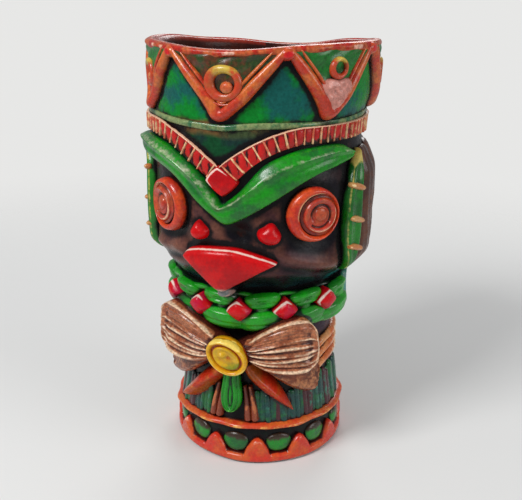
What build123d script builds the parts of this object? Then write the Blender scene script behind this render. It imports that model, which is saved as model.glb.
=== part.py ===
"""Tiki mug: a hand-built earthenware cup with every feature of its carved figure made as a piece of its own.

The cup itself is one thrown wall with a floor. On it sit, from the foot up: a base band with its points and
leaves, a hem cord, a skirt of strands with a loin cloth and fringe, a sash, a bow with its knot and tails, a
garland with gems that meets a neck cape, the beak, eyes, nose knobs, ears, hair and brow of the face, a
ribbed headband, and a crown of pointed panels edged with rope under the lip coil. Each is laid on a thin bed
of slip.

The origin is the centre of the foot, +Z is up, and the figure looks along -Y. Sizes are millimetres. Angles
round the mug are degrees from the front, growing towards +X.
"""

from build123d import *
from math import atan2, cos, degrees, radians, sin
import os

os.makedirs("parts", exist_ok=True)

# Outside radii of the bare wall
foot_radius = 33.0
skirt_radius = 32.6
waist_radius = 30.2
neck_radius = 33.0
head_radius = 42.0
temple_radius = 40.6
mouth_radius = 42.6

# Heights of the zones, from the foot up
base_height = 13.0
skirt_height = 21.0
torso_height = 26.0
collar_height = 15.5
jaw_height = 10.5
head_height = 45.0
band_height = 7.5
crown_height = 23.0
lip_height = 3.5

# The cup
wall = 4.6
floor_thickness = 6.0
underside_recess = 1.5
foot_ring_width = 7.0
slip = 0.1
joint_gap = 0.15

# Lip and crown
lip_coil_thickness = 2.0
front_panel_width = 39.0
side_panel_width = 34.0
side_panel_angles = (53.4, 103.9, 154.6)
panel_drop = 20.5
panel_thickness = 1.2
rope_width = 3.4
rope_thickness = 2.4
rosette_radius = 5.2
rosette_hole_radius = 2.5
rosette_thickness = 1.5
rosette_drop = 7.5

# Headband
ridge_height = 1.5
ridge_thickness = 1.2
band_thickness = 1.0
band_dip = 15.2
band_dip_angle = 40.0
band_side_height = 6.5
band_front_height = 9.6
rib_count = 100
rib_width = 1.6
rib_length = 5.4
rib_thickness = 1.4
gem_thickness = 2.4

# Face
brow_thickness = 4.2
eye_radius = 10.2
eye_hole_radius = 7.0
eye_disc_radius = 6.6
pupil_radius = 3.0
eye_ring_thickness = 3.2
eye_disc_thickness = 2.6
pupil_thickness = 1.0
right_eye_angle = 43.7
left_eye_angle = -35.0
eye_share = 0.482
knob_radius = 4.0
knob_thickness = 4.0
right_knob_angle = 21.0
left_knob_angle = -11.0
knob_drop = 5.4
beak_angle = 2.5
beak_half_width = 17.0
beak_rise = 9.5
beak_fall = 7.9
beak_reach = 5.5
chin_half_width = 3.4
chin_depth = 8.0
ear_angle = 68.5
ear_thickness = 3.6
ear_band_thickness = 1.0
ear_band_height = 2.2
hair_start_angle = 81.0
hair_lock_count = 12
hair_thickness = 3.0

# Collar
cape_start_angle = 84.5
cape_thickness = 2.4
garland_end_angle = 84.0
garland_band_thickness = 2.4
gem_angles = (-48.5, -20.5, 5.5, 31.5, 57.5)
end_leaf_angles = (-62.5, 71.5)
garland_gem_half_width = 4.6
garland_gem_half_height = 4.4
garland_gem_rise = 10.0
garland_gem_thickness = 4.4
leaf_thickness = 3.0
upper_leaf_length = 12.4
upper_leaf_height = 5.0
upper_leaf_rise = 12.7
lower_leaf_length = 13.4
lower_leaf_height = 6.4
lower_leaf_rise = 4.0

# Bow
bow_rise = 18.4
knot_angle = 1.8
knot_long_radius = 8.8
knot_short_radius = 7.5
knot_tilt = -35.0
knot_reach = 12.0
knot_ring_width = 2.4
knot_ring_thickness = 1.8
knot_button_thickness = 2.2
lobe_angle = 31.5
under_lobe_thickness = 8.5
lobe_thickness = 5.0
tail_thickness = 6.5

# Skirt, hem and base
strand_count = 44
strand_gap_angle = 0.7
strand_thickness = 1.8
strand_top_drop = 3.0
skirt_start_angle = 15.0
cloth_half_width = 4.2
cloth_drop = 10.7
cloth_thickness = 5.0
fringe_angles = (9.9, 13.0)
fringe_half_width = 0.75
fringe_thickness = 3.0
sash_start_angle = 56.0
sash_thickness = 2.1
sash_strand_height = 2.9
sash_rises = (1.7, 6.5, 11.3)
hem_rise = 3.6
hem_height = 2.2
hem_thickness = 3.1
foot_reveal = 0.5
base_band_height = 4.4
base_thickness = 2.8
point_count = 12
point_angle = 17.0
point_height = 11.3
point_half_width = 3.6
base_leaf_half_width = 4.5
base_leaf_half_height = 3.3
base_leaf_thickness = 1.8

# Heights at which the zones start
skirt_z = base_height
torso_z = skirt_z + skirt_height
collar_z = torso_z + torso_height
jaw_z = collar_z + collar_height
head_z = jaw_z + jaw_height
band_z = head_z + head_height
crown_z = band_z + band_height
lip_z = crown_z + crown_height
mug_height = lip_z + lip_height

# Outline of the bare wall, from the foot to the mouth, as radius and height
wall_line = [
    (foot_radius, 0),
    (foot_radius, skirt_z),
    (skirt_radius, skirt_z + hem_rise),
    (waist_radius, torso_z),
    (waist_radius, collar_z),
    (neck_radius, jaw_z),
    (head_radius, head_z),
    (head_radius, band_z - 12.0),
    (temple_radius, band_z),
    (mouth_radius, mug_height),
]
reach = 60.0


def wall_radius(height):
    """Radius of the bare wall at a height."""
    for (low_r, low_z), (high_r, high_z) in zip(wall_line, wall_line[1:]):
        if height <= high_z:
            return low_r + (high_r - low_r) * (height - low_z) / (high_z - low_z)
    return wall_line[-1][0]


with BuildSketch() as core_section:
    Polygon((0, 0), *wall_line, (0, mug_height), align=None)


def raised(amount):
    """The solid outline of the mug with its outside moved out by an amount."""
    return offset(core_section.sketch, amount=amount, kind=Kind.INTERSECTION)


def facing(angle, distance=0.0):
    """Upright plane square to the direction at an angle round the mug, that far from the axis."""
    outward = (sin(radians(angle)), -cos(radians(angle)), 0)
    start = (outward[0] * distance, outward[1] * distance, 0)
    return Plane(origin=start, x_dir=(cos(radians(angle)), sin(radians(angle)), 0), z_dir=outward)


def layer(low, high, start, thickness, from_angle=0.0, sweep_angle=360.0):
    """Ring of clay on the wall between two heights, from start out from the wall, and as thick as stated."""
    first = facing(from_angle)
    outer = raised(start + thickness)
    inner = raised(start)
    with BuildPart() as ring:
        with BuildSketch(Plane(origin=(0, 0, 0), x_dir=first.z_dir, z_dir=-first.x_dir)):
            add(outer)
            add(inner, mode=Mode.SUBTRACT)
            with Locations(((reach + wall) / 2, (low + high) / 2)):
                Rectangle(reach, high - low, mode=Mode.INTERSECT)
        revolve(axis=Axis.Z, revolution_arc=sweep_angle)
    return ring.part


def prisms(outline, angles, distance=wall):
    """Copies of an upright outline, pushed outwards through the wall at each angle."""
    with BuildPart() as tools:
        for angle in angles:
            with BuildSketch(facing(angle, distance)):
                add(outline)
            extrude(amount=reach)
    return tools.part


def wrapped(points, angle, radius):
    """Points given as angle and height, flattened onto the plane that faces an angle."""
    return [(radius * sin(radians(turn - angle)), height) for turn, height in points]


def polygon(points):
    """Closed straight-sided outline."""
    with BuildSketch() as outline:
        Polygon(*points, align=None)
    return outline.sketch


def grown(points):
    """Closed outline with the gap between neighbouring pieces added all round."""
    return offset(polygon(points), amount=joint_gap, kind=Kind.INTERSECTION)


def save(name, builder):
    """Labels a finished piece and writes it as its own node."""
    builder.part.label = name
    export_step(builder.part, f"parts/{name}.step")


# ---- The cup: one wall and floor, glazed dark brown inside, standing on a foot ring ----
with BuildPart() as mug_body:
    with BuildSketch(Plane.XZ):
        add(core_section.sketch)
        Polygon(
            (0, floor_thickness),
            (foot_radius - wall - 3.0, floor_thickness),
            (foot_radius - wall, floor_thickness + 3.0),
            (waist_radius - wall, torso_z),
            (waist_radius - wall, collar_z),
            (neck_radius - wall, jaw_z + 2.0),
            (head_radius - wall, head_z + 2.0),
            (head_radius - wall, band_z - 12.0),
            (temple_radius - wall, band_z),
            (mouth_radius - wall, mug_height),
            (0, mug_height),
            align=None,
            mode=Mode.SUBTRACT,
        )
        with Locations((0, 0)):
            Rectangle(
                foot_radius - foot_ring_width,
                underside_recess,
                align=(Align.MIN, Align.MIN),
                mode=Mode.SUBTRACT,
            )
    revolve(axis=Axis.Z)
save("mug_body", mug_body)

# ---- Lip coil round the outside of the mouth ----
with BuildPart() as lip_coil:
    add(layer(lip_z, mug_height, slip, lip_coil_thickness))
save("lip_coil", lip_coil)

# ---- Crown: seven pointed panels hang from the lip, each edged with a rope and set with a rosette ----
side_angles = [sign * angle for angle in side_panel_angles for sign in (-1, 1)]


def panel_outline(width, inset):
    """Pointed panel, open at the top, drawn in by inset on its sloping sides."""
    half = width / 2
    tip = lip_z - panel_drop
    with BuildSketch() as outline:
        Polygon(
            (-half * 1.5, lip_z + panel_drop / 2),
            (-half, lip_z),
            (-half * 0.42, tip + panel_drop * 0.3),
            (-half * 0.08, tip),
            (half * 0.08, tip),
            (half * 0.42, tip + panel_drop * 0.3),
            (half, lip_z),
            (half * 1.5, lip_z + panel_drop / 2),
            align=None,
        )
        if inset:
            offset(amount=-inset, kind=Kind.INTERSECTION, mode=Mode.REPLACE)
    return outline.sketch


def crown_tools(inset):
    """Prisms of all seven panels, drawn in by inset."""
    with BuildPart() as tools:
        add(prisms(panel_outline(front_panel_width, inset), [0]))
        add(prisms(panel_outline(side_panel_width, inset), side_angles))
    return tools.part


# The ropes are cut from a layer that is thinner than a panel is apart from the next, so they stay seven.
crown_top = lip_z - slip
with BuildPart() as crown_ropes:
    add(layer(lip_z - panel_drop - 1, crown_top, slip, rope_thickness))
    add(crown_tools(0), mode=Mode.INTERSECT)
    add(crown_tools(rope_width), mode=Mode.SUBTRACT)
save("crown_ropes", crown_ropes)

with BuildPart() as crown_panels:
    add(layer(lip_z - panel_drop, crown_top, slip, panel_thickness))
    add(crown_tools(rope_width + slip), mode=Mode.INTERSECT)
save("crown_panels", crown_panels)

rosette_z = lip_z - rosette_drop
rosette_angles = [0, *side_angles]
with BuildSketch() as rosette_ring:
    with Locations((0, rosette_z)):
        Circle(rosette_radius)
        Circle(rosette_hole_radius, mode=Mode.SUBTRACT)
with BuildPart() as crown_rosettes:
    add(layer(rosette_z - rosette_radius - 1, crown_top, panel_thickness + 2 * slip, rosette_thickness))
    add(prisms(rosette_ring.sketch, rosette_angles), mode=Mode.INTERSECT)
save("crown_rosettes", crown_rosettes)

with BuildSketch() as rosette_centre:
    with Locations((0, rosette_z)):
        Circle(rosette_hole_radius - slip)
with BuildPart() as rosette_beads:
    add(layer(rosette_z - rosette_radius, crown_top, panel_thickness + 2 * slip, rosette_thickness * 0.6))
    add(prisms(rosette_centre.sketch, rosette_angles), mode=Mode.INTERSECT)
save("rosette_beads", rosette_beads)

# ---- Head wrap ridge: a thin coil under the crown ----
with BuildPart() as wrap_ridge:
    add(layer(crown_z + slip, crown_z + slip + ridge_height, slip, ridge_thickness))
save("wrap_ridge", wrap_ridge)


# ---- Headband: a strip that dips to a point over the brow, set with ribs and one large gem ----
def dip(angle):
    """Share of the full dip at an angle: one at the front, and nothing from the temples on."""
    return max(0.0, 1 - abs(angle) / band_dip_angle) ** 2


def band_middle(angle):
    """Height of the headband's middle line."""
    front_dip = band_dip - (band_front_height - band_side_height) / 2
    return crown_z - band_side_height / 2 - front_dip * dip(angle)


def band_half(angle):
    """Half the headband's height."""
    return (band_side_height + (band_front_height - band_side_height) * dip(angle)) / 2


arm_turns = [0, 6, 12, 18, 24, 30, 36, 42, 48]
arm_points = [(turn, band_middle(turn) + band_half(turn)) for turn in arm_turns]
arm_points += [(turn, band_middle(turn) - band_half(turn)) for turn in reversed(arm_turns)]
arm_points += [(-2, band_middle(0) - band_half(0) + 1.5), (-2, band_middle(0) + band_half(0) + 1.5)]
arm_angle = 24
right_arm = wrapped(arm_points, arm_angle, temple_radius)
left_arm = [(-x, z) for x, z in right_arm]
band_low = crown_z - band_side_height

with BuildPart() as band_arms:
    add(prisms(polygon(right_arm), [arm_angle]))
    add(prisms(polygon(left_arm), [-arm_angle]))
with BuildPart() as headband:
    add(layer(band_z - band_dip, crown_z, slip, band_thickness))
    add(band_arms.part, mode=Mode.INTERSECT)
    add(layer(band_low, crown_z, slip, band_thickness, 46, 268))
save("headband", headband)

gem_z = band_middle(0)
with BuildPart() as headband_gem:
    add(layer(band_z - band_dip - 3, crown_z, band_thickness + 2 * slip, gem_thickness))
    with BuildSketch(facing(0, wall)):
        Polygon((-5.6, gem_z), (0, gem_z - 4.6), (5.6, gem_z), (0, gem_z + 4.6), align=None)
    extrude(amount=reach, mode=Mode.INTERSECT)
save("headband_gem", headband_gem)

with BuildPart() as headband_ribs:
    for place in range(rib_count):
        turn = 360.0 * (place + 0.5) / rib_count - 180
        if abs(turn) < 9:
            continue
        middle = band_middle(turn)
        seat = max(wall_radius(middle + rise) for rise in (-3, 0, 3)) + band_thickness + 2 * slip
        run = radians(1) * seat
        lean = degrees(atan2(band_middle(turn + 0.5) - band_middle(turn - 0.5), run))
        with Locations(facing(turn, seat) * Pos(0, middle, 0) * Rot(0, 0, lean)):
            Box(
                rib_width * cos(radians(lean)),
                rib_length,
                rib_thickness,
                align=(Align.CENTER, Align.CENTER, Align.MIN),
            )
save("headband_ribs", headband_ribs)

# ---- Brow: one thick coil bent to a V, its ends rounded over the temples ----
brow_points = [
    (-3, band_z - 26.0),
    (3, band_z - 26.2),
    (12, band_z - 22.5),
    (22, band_z - 17.8),
    (32, band_z - 13.0),
    (42, band_z - 9.4),
    (54, band_z - 7.2),
    (63, band_z - 5.2),
    (68, band_z - 2.8),
    (66, band_z - 0.6),
    (57, band_z + 0.4),
    (46, band_z + 0.2),
    (36, band_z - 0.9),
    (27, band_z - 3.4),
    (18, band_z - 8.0),
    (9, band_z - 13.6),
    (0, band_z - 19.0),
    (-3, band_z - 19.0),
]
brow_angle = 33
right_brow = wrapped(brow_points, brow_angle, head_radius)
left_brow = [(-x, z) for x, z in right_brow]
with BuildPart() as brow_arms:
    add(prisms(polygon(right_brow), [brow_angle]))
    add(prisms(polygon(left_brow), [-brow_angle]))
with BuildPart() as brow:
    add(layer(band_z - 27, band_z + 0.7, slip, brow_thickness))
    add(brow_arms.part, mode=Mode.INTERSECT)
    # The headband strip lies in front of the wall where the brow's top meets it.
    add(layer(band_z - band_dip, crown_z, 0, band_thickness + 3 * slip), mode=Mode.SUBTRACT)
save("brow", brow)


# ---- Eyes: a ring with a disc and a raised pupil in it ----
eye_z = head_z + eye_share * head_height
with BuildPart() as brow_cut:
    add(prisms(grown(right_brow), [brow_angle]))
    add(prisms(grown(left_brow), [-brow_angle]))


def disc(radius, height, hole=0.0):
    """Round outline at a height, with a hole if it has one."""
    with BuildSketch() as outline:
        with Locations((0, height)):
            Circle(radius)
            if hole:
                Circle(hole, mode=Mode.SUBTRACT)
    return outline.sketch


eye_low = eye_z - eye_radius - 1
eye_high = eye_z + eye_radius + 1
for side, angle in (("left", left_eye_angle), ("right", right_eye_angle)):
    with BuildPart() as eye_ring:
        add(layer(eye_low, eye_high, slip, eye_ring_thickness))
        add(prisms(disc(eye_radius, eye_z, eye_hole_radius), [angle]), mode=Mode.INTERSECT)
        add(brow_cut.part, mode=Mode.SUBTRACT)
    save(f"eye_ring_{side}", eye_ring)

    with BuildPart() as eye_disc:
        add(layer(eye_low, eye_high, slip, eye_disc_thickness))
        add(prisms(disc(eye_disc_radius, eye_z), [angle]), mode=Mode.INTERSECT)
        add(brow_cut.part, mode=Mode.SUBTRACT)
    save(f"eye_disc_{side}", eye_disc)

    with BuildPart() as pupil:
        add(layer(eye_low, eye_high, eye_disc_thickness + 2 * slip, pupil_thickness))
        add(prisms(disc(pupil_radius, eye_z), [angle]), mode=Mode.INTERSECT)
    save(f"pupil_{side}", pupil)

# ---- Nose knobs: two drops of clay with pointed tops ----
knob_z = eye_z - knob_drop
knob_line = [
    (0, knob_z + knob_radius * 1.15),
    (-knob_radius * 0.75, knob_z + knob_radius * 0.4),
    (-knob_radius, knob_z - knob_radius * 0.3),
    (-knob_radius * 0.6, knob_z - knob_radius * 0.9),
    (knob_radius * 0.6, knob_z - knob_radius * 0.9),
    (knob_radius, knob_z - knob_radius * 0.3),
    (knob_radius * 0.75, knob_z + knob_radius * 0.4),
]
for side, angle in (("left", left_knob_angle), ("right", right_knob_angle)):
    with BuildPart() as nose_knob:
        add(layer(knob_z - 2 * knob_radius, knob_z + 2 * knob_radius, slip, knob_thickness))
        add(prisms(polygon(knob_line), [angle]), mode=Mode.INTERSECT)
        add(brow_cut.part, mode=Mode.SUBTRACT)
    save(f"nose_knob_{side}", nose_knob)


# ---- Beak: a wedge that stands out from the face, with a chin under its tip ----
bed_section = raised(slip)
with BuildPart() as bed:
    with BuildSketch(Plane.XZ):
        add(bed_section)
        Rectangle(reach, 2 * mug_height, align=(Align.MIN, Align.CENTER), mode=Mode.INTERSECT)
    revolve(axis=Axis.Z)


def block_of(low, high, radius):
    """Solid clay between the wall with its bed of slip and a plain radius."""
    with BuildPart() as block:
        with BuildSketch(Plane.XY.offset(low)):
            Circle(radius)
        extrude(amount=high - low)
        add(bed.part, mode=Mode.SUBTRACT)
    return block.part


beak_high = head_z + beak_rise
beak_low = head_z - beak_fall
beak_line = [
    (0, beak_high),
    (-beak_half_width * 0.55, beak_high - 0.6),
    (-beak_half_width * 0.9, beak_high - 3.4),
    (-beak_half_width, beak_high - 5.8),
    (-beak_half_width * 0.55, beak_high - 9.6),
    (-beak_half_width * 0.12, beak_low + 0.6),
    (0, beak_low),
    (beak_half_width * 0.12, beak_low + 0.6),
    (beak_half_width * 0.55, beak_high - 9.6),
    (beak_half_width, beak_high - 5.8),
    (beak_half_width * 0.9, beak_high - 3.4),
    (beak_half_width * 0.55, beak_high - 0.6),
]
with BuildPart() as beak:
    add(block_of(beak_low, beak_high, head_radius + beak_reach))
    add(prisms(polygon(beak_line), [beak_angle]), mode=Mode.INTERSECT)
save("beak", beak)

beak_cut = grown(beak_line)
with BuildSketch() as chin_outline:
    with Locations((0, jaw_z + slip)):
        Rectangle(2 * chin_half_width, beak_high - jaw_z, align=(Align.CENTER, Align.MIN))
    add(beak_cut, mode=Mode.SUBTRACT)
    Rectangle(2 * reach, 2 * (head_z - 1), mode=Mode.INTERSECT)
with BuildPart() as chin:
    add(block_of(jaw_z, head_z, neck_radius + chin_depth))
    add(prisms(chin_outline.sketch, [beak_angle]), mode=Mode.INTERSECT)
save("chin", chin)

# ---- Ears: tall bars at the sides of the head, each crossed by three bands ----
ear_line = [
    (-0.6, head_z - 4.3),
    (2.6, head_z - 1.0),
    (4.2, head_z + 10.0),
    (4.2, band_z - 14.0),
    (5.4, band_z - 5.0),
    (4.4, band_z - 2.2),
    (1.4, band_z - 6.0),
    (-2.8, band_z - 11.0),
    (-4.6, band_z - 19.0),
    (-4.8, head_z + 14.0),
    (-3.6, head_z + 4.0),
]
ear_band_heights = (head_z + 5.0, head_z + 0.5 * head_height - 5.5, band_z - 15.0)
for side, sign in (("left", -1), ("right", 1)):
    ear_outline = polygon([(sign * x, z) for x, z in ear_line])
    with BuildPart() as ear:
        add(layer(head_z - 5, band_z, slip, ear_thickness))
        add(prisms(ear_outline, [sign * ear_angle]), mode=Mode.INTERSECT)
        add(brow_cut.part, mode=Mode.SUBTRACT)
    save(f"ear_{side}", ear)

    with BuildSketch() as band_marks:
        for height in ear_band_heights:
            with Locations((0, height)):
                Rectangle(4 * ear_thickness, ear_band_height)
        add(ear_outline, mode=Mode.INTERSECT)
    with BuildPart() as ear_bands:
        add(layer(head_z - 5, band_z, ear_thickness + 2 * slip, ear_band_thickness))
        add(prisms(band_marks.sketch, [sign * ear_angle]), mode=Mode.INTERSECT)
        add(brow_cut.part, mode=Mode.SUBTRACT)
    save(f"ear_bands_{side}", ear_bands)

# ---- Hair: thick locks side by side round the back of the head ----
lock_sweep = (360 - 2 * hair_start_angle) / hair_lock_count
lock_gap = degrees(joint_gap / head_radius)
with BuildPart() as hair_locks:
    for place in range(hair_lock_count):
        start = hair_start_angle + place * lock_sweep
        add(layer(jaw_z + 1.5, band_z - 3.0, slip, hair_thickness, start, lock_sweep - lock_gap))
save("hair_locks", hair_locks)

# ---- Neck cape round the back, and the garland round the front: a band with leaves and gems on it ----
collar_top = jaw_z - joint_gap
with BuildPart() as neck_cape:
    add(layer(collar_z, collar_top, slip, cape_thickness, cape_start_angle, 360 - 2 * cape_start_angle))
save("neck_cape", neck_cape)

with BuildPart() as garland_band:
    add(layer(collar_z, collar_top, slip, garland_band_thickness, -garland_end_angle, 2 * garland_end_angle))
save("garland_band", garland_band)

garland_seat = garland_band_thickness + 2 * slip
garland_gem_z = collar_z + garland_gem_rise
with BuildSketch() as diamond:
    Polygon(
        (-garland_gem_half_width, garland_gem_z),
        (0, garland_gem_z - garland_gem_half_height),
        (garland_gem_half_width, garland_gem_z),
        (0, garland_gem_z + garland_gem_half_height),
        align=None,
    )
with BuildPart() as garland_gems:
    add(layer(collar_z, collar_top, garland_seat, garland_gem_thickness))
    add(prisms(diamond.sketch, gem_angles), mode=Mode.INTERSECT)
save("garland_gems", garland_gems)


def leaf(length, width, height):
    """Leaf outline with a point at each end."""
    with BuildSketch() as outline:
        with BuildLine():
            ThreePointArc((-length / 2, height), (0, height + width / 2), (length / 2, height))
            ThreePointArc((length / 2, height), (0, height - width / 2), (-length / 2, height))
        make_face()
    return outline.sketch


leaf_angles = [(low + high) / 2 for low, high in zip(gem_angles, gem_angles[1:])]
leaf_angles += end_leaf_angles
with BuildPart() as gem_cut:
    add(prisms(offset(diamond.sketch, amount=joint_gap, kind=Kind.INTERSECTION), gem_angles))
for name, length, width, rise in (
    ("garland_leaves_upper", upper_leaf_length, upper_leaf_height, upper_leaf_rise),
    ("garland_leaves_lower", lower_leaf_length, lower_leaf_height, lower_leaf_rise),
):
    with BuildPart() as leaves:
        add(layer(collar_z, collar_top, garland_seat, leaf_thickness))
        add(prisms(leaf(length, width, collar_z + rise), leaf_angles), mode=Mode.INTERSECT)
        add(gem_cut.part, mode=Mode.SUBTRACT)
    save(name, leaves)

# ---- Knot of the bow: an oval with a ring and a button on its face ----
bow_z = torso_z + bow_rise
garland_reach = garland_seat + garland_gem_thickness + joint_gap
knot_plane = facing(knot_angle)


def oval(shrink):
    """The knot's tilted oval, drawn in by an amount."""
    with BuildSketch() as outline:
        with Locations((0, bow_z)):
            Ellipse(knot_long_radius - shrink, knot_short_radius - shrink, rotation=knot_tilt)
    return outline.sketch


knot_top = waist_radius + knot_reach
with BuildPart() as bow_knot:
    with BuildSketch(knot_plane):
        add(oval(0))
    extrude(amount=knot_top)
    add(bed.part, mode=Mode.SUBTRACT)
    add(layer(collar_z, jaw_z, 0, garland_reach), mode=Mode.SUBTRACT)
save("bow_knot", bow_knot)

with BuildPart() as knot_ring:
    with BuildSketch(facing(knot_angle, knot_top + slip)):
        add(oval(0))
        add(oval(knot_ring_width), mode=Mode.SUBTRACT)
    extrude(amount=knot_ring_thickness)
save("knot_ring", knot_ring)

with BuildPart() as knot_button:
    with BuildSketch(facing(knot_angle, knot_top + slip)):
        add(oval(knot_ring_width + knot_ring_thickness / 2))
    extrude(amount=knot_button_thickness)
    fillet(knot_button.faces().sort_by(Axis.Y)[0].edges(), radius=knot_button_thickness / 2)
save("knot_button", knot_button)

with BuildPart() as knot_cut:
    add(prisms(oval(-joint_gap), [knot_angle], wall))

# ---- Tails of the bow: the left one cut square, the right one cut to a point ----
tail_lines = {
    "left": [(-8, -7), (-8.5, -12.6), (-18, -19.6), (-41, -30.8), (-44, -27.5), (-14, -13.3), (-12, -7)],
    "right": [(8.5, -7), (9.6, -14.5), (19.7, -19.9), (39, -28.5), (27.4, -17.9), (14, -10.6), (12, -7)],
}
tail_angles = {"left": -24, "right": 22}
with BuildPart() as tail_cut:
    for side, line in tail_lines.items():
        points = wrapped([(turn, bow_z + rise) for turn, rise in line], tail_angles[side], skirt_radius)
        add(prisms(grown(points), [tail_angles[side]]))
for side, line in tail_lines.items():
    points = wrapped([(turn, bow_z + rise) for turn, rise in line], tail_angles[side], skirt_radius)
    with BuildPart() as bow_tail:
        add(layer(skirt_z + hem_rise + hem_height, collar_z, slip, tail_thickness))
        add(prisms(polygon(points), [tail_angles[side]]), mode=Mode.INTERSECT)
        add(knot_cut.part, mode=Mode.SUBTRACT)
    save(f"bow_tail_{side}", bow_tail)

# ---- Lobes of the bow: each upper lobe lies over a lower one ----
lobe_line = [
    (9, bow_z + 3.0),
    (19, bow_z + 8.6),
    (28, bow_z + 12.0),
    (36, bow_z + 13.6),
    (44, bow_z + 13.4),
    (48, bow_z + 9.6),
    (51, bow_z + 2.0),
    (50, bow_z - 4.6),
    (47, bow_z - 9.6),
    (40, bow_z - 10.4),
    (31, bow_z - 10.2),
    (21, bow_z - 8.6),
    (9, bow_z - 4.0),
]
under_line = [
    (9, bow_z + 3.0),
    (30, bow_z + 9.0),
    (46, bow_z + 8.0),
    (53, bow_z),
    (53.5, bow_z - 13.0),
    (52, bow_z - 20.8),
    (43, bow_z - 19.8),
    (33, bow_z - 16.4),
    (20, bow_z - 10.2),
    (9, bow_z - 3.0),
]
lobe_radius = waist_radius + under_lobe_thickness
right_lobe = wrapped(lobe_line, lobe_angle, lobe_radius)
right_under = wrapped(under_line, lobe_angle, waist_radius)
lobe_low = bow_z - 10.4
lobe_high = bow_z + 13.6
under_low = bow_z - 20.8
for side, sign in (("left", -1), ("right", 1)):
    with BuildPart() as bow_lobe:
        with BuildSketch(Plane.XY.offset(lobe_low)):
            Circle(lobe_radius + 2 * slip + lobe_thickness)
            Circle(lobe_radius + 2 * slip, mode=Mode.SUBTRACT)
        extrude(amount=lobe_high - lobe_low)
        add(
            prisms(polygon([(sign * x, z) for x, z in right_lobe]), [sign * lobe_angle]),
            mode=Mode.INTERSECT,
        )
        add(knot_cut.part, mode=Mode.SUBTRACT)
        add(layer(collar_z, jaw_z, 0, garland_reach), mode=Mode.SUBTRACT)
    save(f"bow_lobe_{side}", bow_lobe)

    with BuildPart() as bow_under_lobe:
        add(block_of(under_low, collar_z - joint_gap, lobe_radius))
        add(
            prisms(polygon([(sign * x, z) for x, z in right_under]), [sign * lobe_angle]),
            mode=Mode.INTERSECT,
        )
        add(knot_cut.part, mode=Mode.SUBTRACT)
        add(tail_cut.part, mode=Mode.SUBTRACT)
    save(f"bow_under_lobe_{side}", bow_under_lobe)

# ---- Loin cloth: a rounded tongue that hangs from the knot, with fringe strips beside it ----
hem_top = skirt_z + hem_rise + hem_height
strand_low = hem_top + joint_gap
strand_high = torso_z - strand_top_drop
cloth_low = torso_z - cloth_drop
with BuildSketch() as tongue:
    with Locations((0, cloth_low)):
        Rectangle(2 * cloth_half_width, bow_z - cloth_low, align=(Align.CENTER, Align.MIN))
    fillet(tongue.vertices().group_by(Axis.Y)[0], radius=cloth_half_width * 0.9)
with BuildPart() as loin_cloth:
    add(layer(strand_low, collar_z, slip, cloth_thickness))
    add(prisms(tongue.sketch, [0]), mode=Mode.INTERSECT)
    add(knot_cut.part, mode=Mode.SUBTRACT)
    add(tail_cut.part, mode=Mode.SUBTRACT)
save("loin_cloth", loin_cloth)

with BuildSketch() as strip:
    with Locations((0, strand_low)):
        Rectangle(2 * fringe_half_width, torso_z - strand_low, align=(Align.CENTER, Align.MIN))
with BuildPart() as fringe_strips:
    add(layer(strand_low, torso_z, slip, fringe_thickness))
    add(
        prisms(strip.sketch, [sign * angle for angle in fringe_angles for sign in (-1, 1)]),
        mode=Mode.INTERSECT,
    )
    add(tail_cut.part, mode=Mode.SUBTRACT)
save("fringe_strips", fringe_strips)

# ---- Skirt: upright strands side by side, cut away where the tails lie ----
strand_sweep = (360 - 2 * skirt_start_angle) / strand_count
with BuildPart() as skirt_strands:
    for place in range(strand_count):
        start = skirt_start_angle + place * strand_sweep
        add(layer(strand_low, strand_high, slip, strand_thickness, start, strand_sweep - strand_gap_angle))
    add(tail_cut.part, mode=Mode.SUBTRACT)
save("skirt_strands", skirt_strands)

# ---- Sash: three strands round the back of the waist ----
sash_sweep = 360 - 2 * sash_start_angle
for name, rise in zip(("lower", "middle", "upper"), sash_rises):
    with BuildPart() as sash:
        low = torso_z + rise
        add(layer(low, low + sash_strand_height, slip, sash_thickness, sash_start_angle, sash_sweep))
    save(f"sash_{name}", sash)

# ---- Hem cord round the bottom of the skirt ----
with BuildPart() as hem_cord:
    add(layer(skirt_z + hem_rise, hem_top, slip, hem_thickness))
save("hem_cord", hem_cord)

# ---- Base band with its row of points, and a leaf between each two of them ----
point_turns = [point_angle + 360 * place / point_count for place in range(point_count)]
leaf_turns = [turn + 180 / point_count for turn in point_turns]
with BuildSketch() as point_outline:
    Polygon(
        (-point_half_width, base_band_height / 2),
        (point_half_width, base_band_height / 2),
        (point_half_width * 0.7, base_band_height + (point_height - base_band_height) * 0.5),
        (0, point_height),
        (-point_half_width * 0.7, base_band_height + (point_height - base_band_height) * 0.5),
        align=None,
    )
with BuildPart() as base_points:
    add(layer(foot_reveal, base_height, slip, base_thickness))
    add(prisms(point_outline.sketch, point_turns), mode=Mode.INTERSECT)
with BuildPart() as base_band:
    add(layer(foot_reveal, base_band_height, slip, base_thickness))
    add(base_points.part)
save("base_band", base_band)

leaf_z = base_band_height + joint_gap + base_leaf_half_height
with BuildSketch() as base_leaf:
    with Locations((0, leaf_z)):
        Ellipse(base_leaf_half_width, base_leaf_half_height)
with BuildPart() as base_leaves:
    add(layer(0, base_height, slip, base_leaf_thickness))
    add(prisms(base_leaf.sketch, leaf_turns), mode=Mode.INTERSECT)
save("base_leaves", base_leaves)
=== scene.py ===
"""Tiki mug: glazed and fired clay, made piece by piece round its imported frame.

The cup comes first, then what is laid on it from the foot up. Lengths in the clay are millimetres, turns are
degrees round the mug from its front towards +X, and heights are from the foot. A piece's points are given as
turn, height and how far they stand out from the wall.
"""

import bpy
import numpy as np
from mathutils import Matrix, Vector
from mathutils.bvhtree import BVHTree


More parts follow.
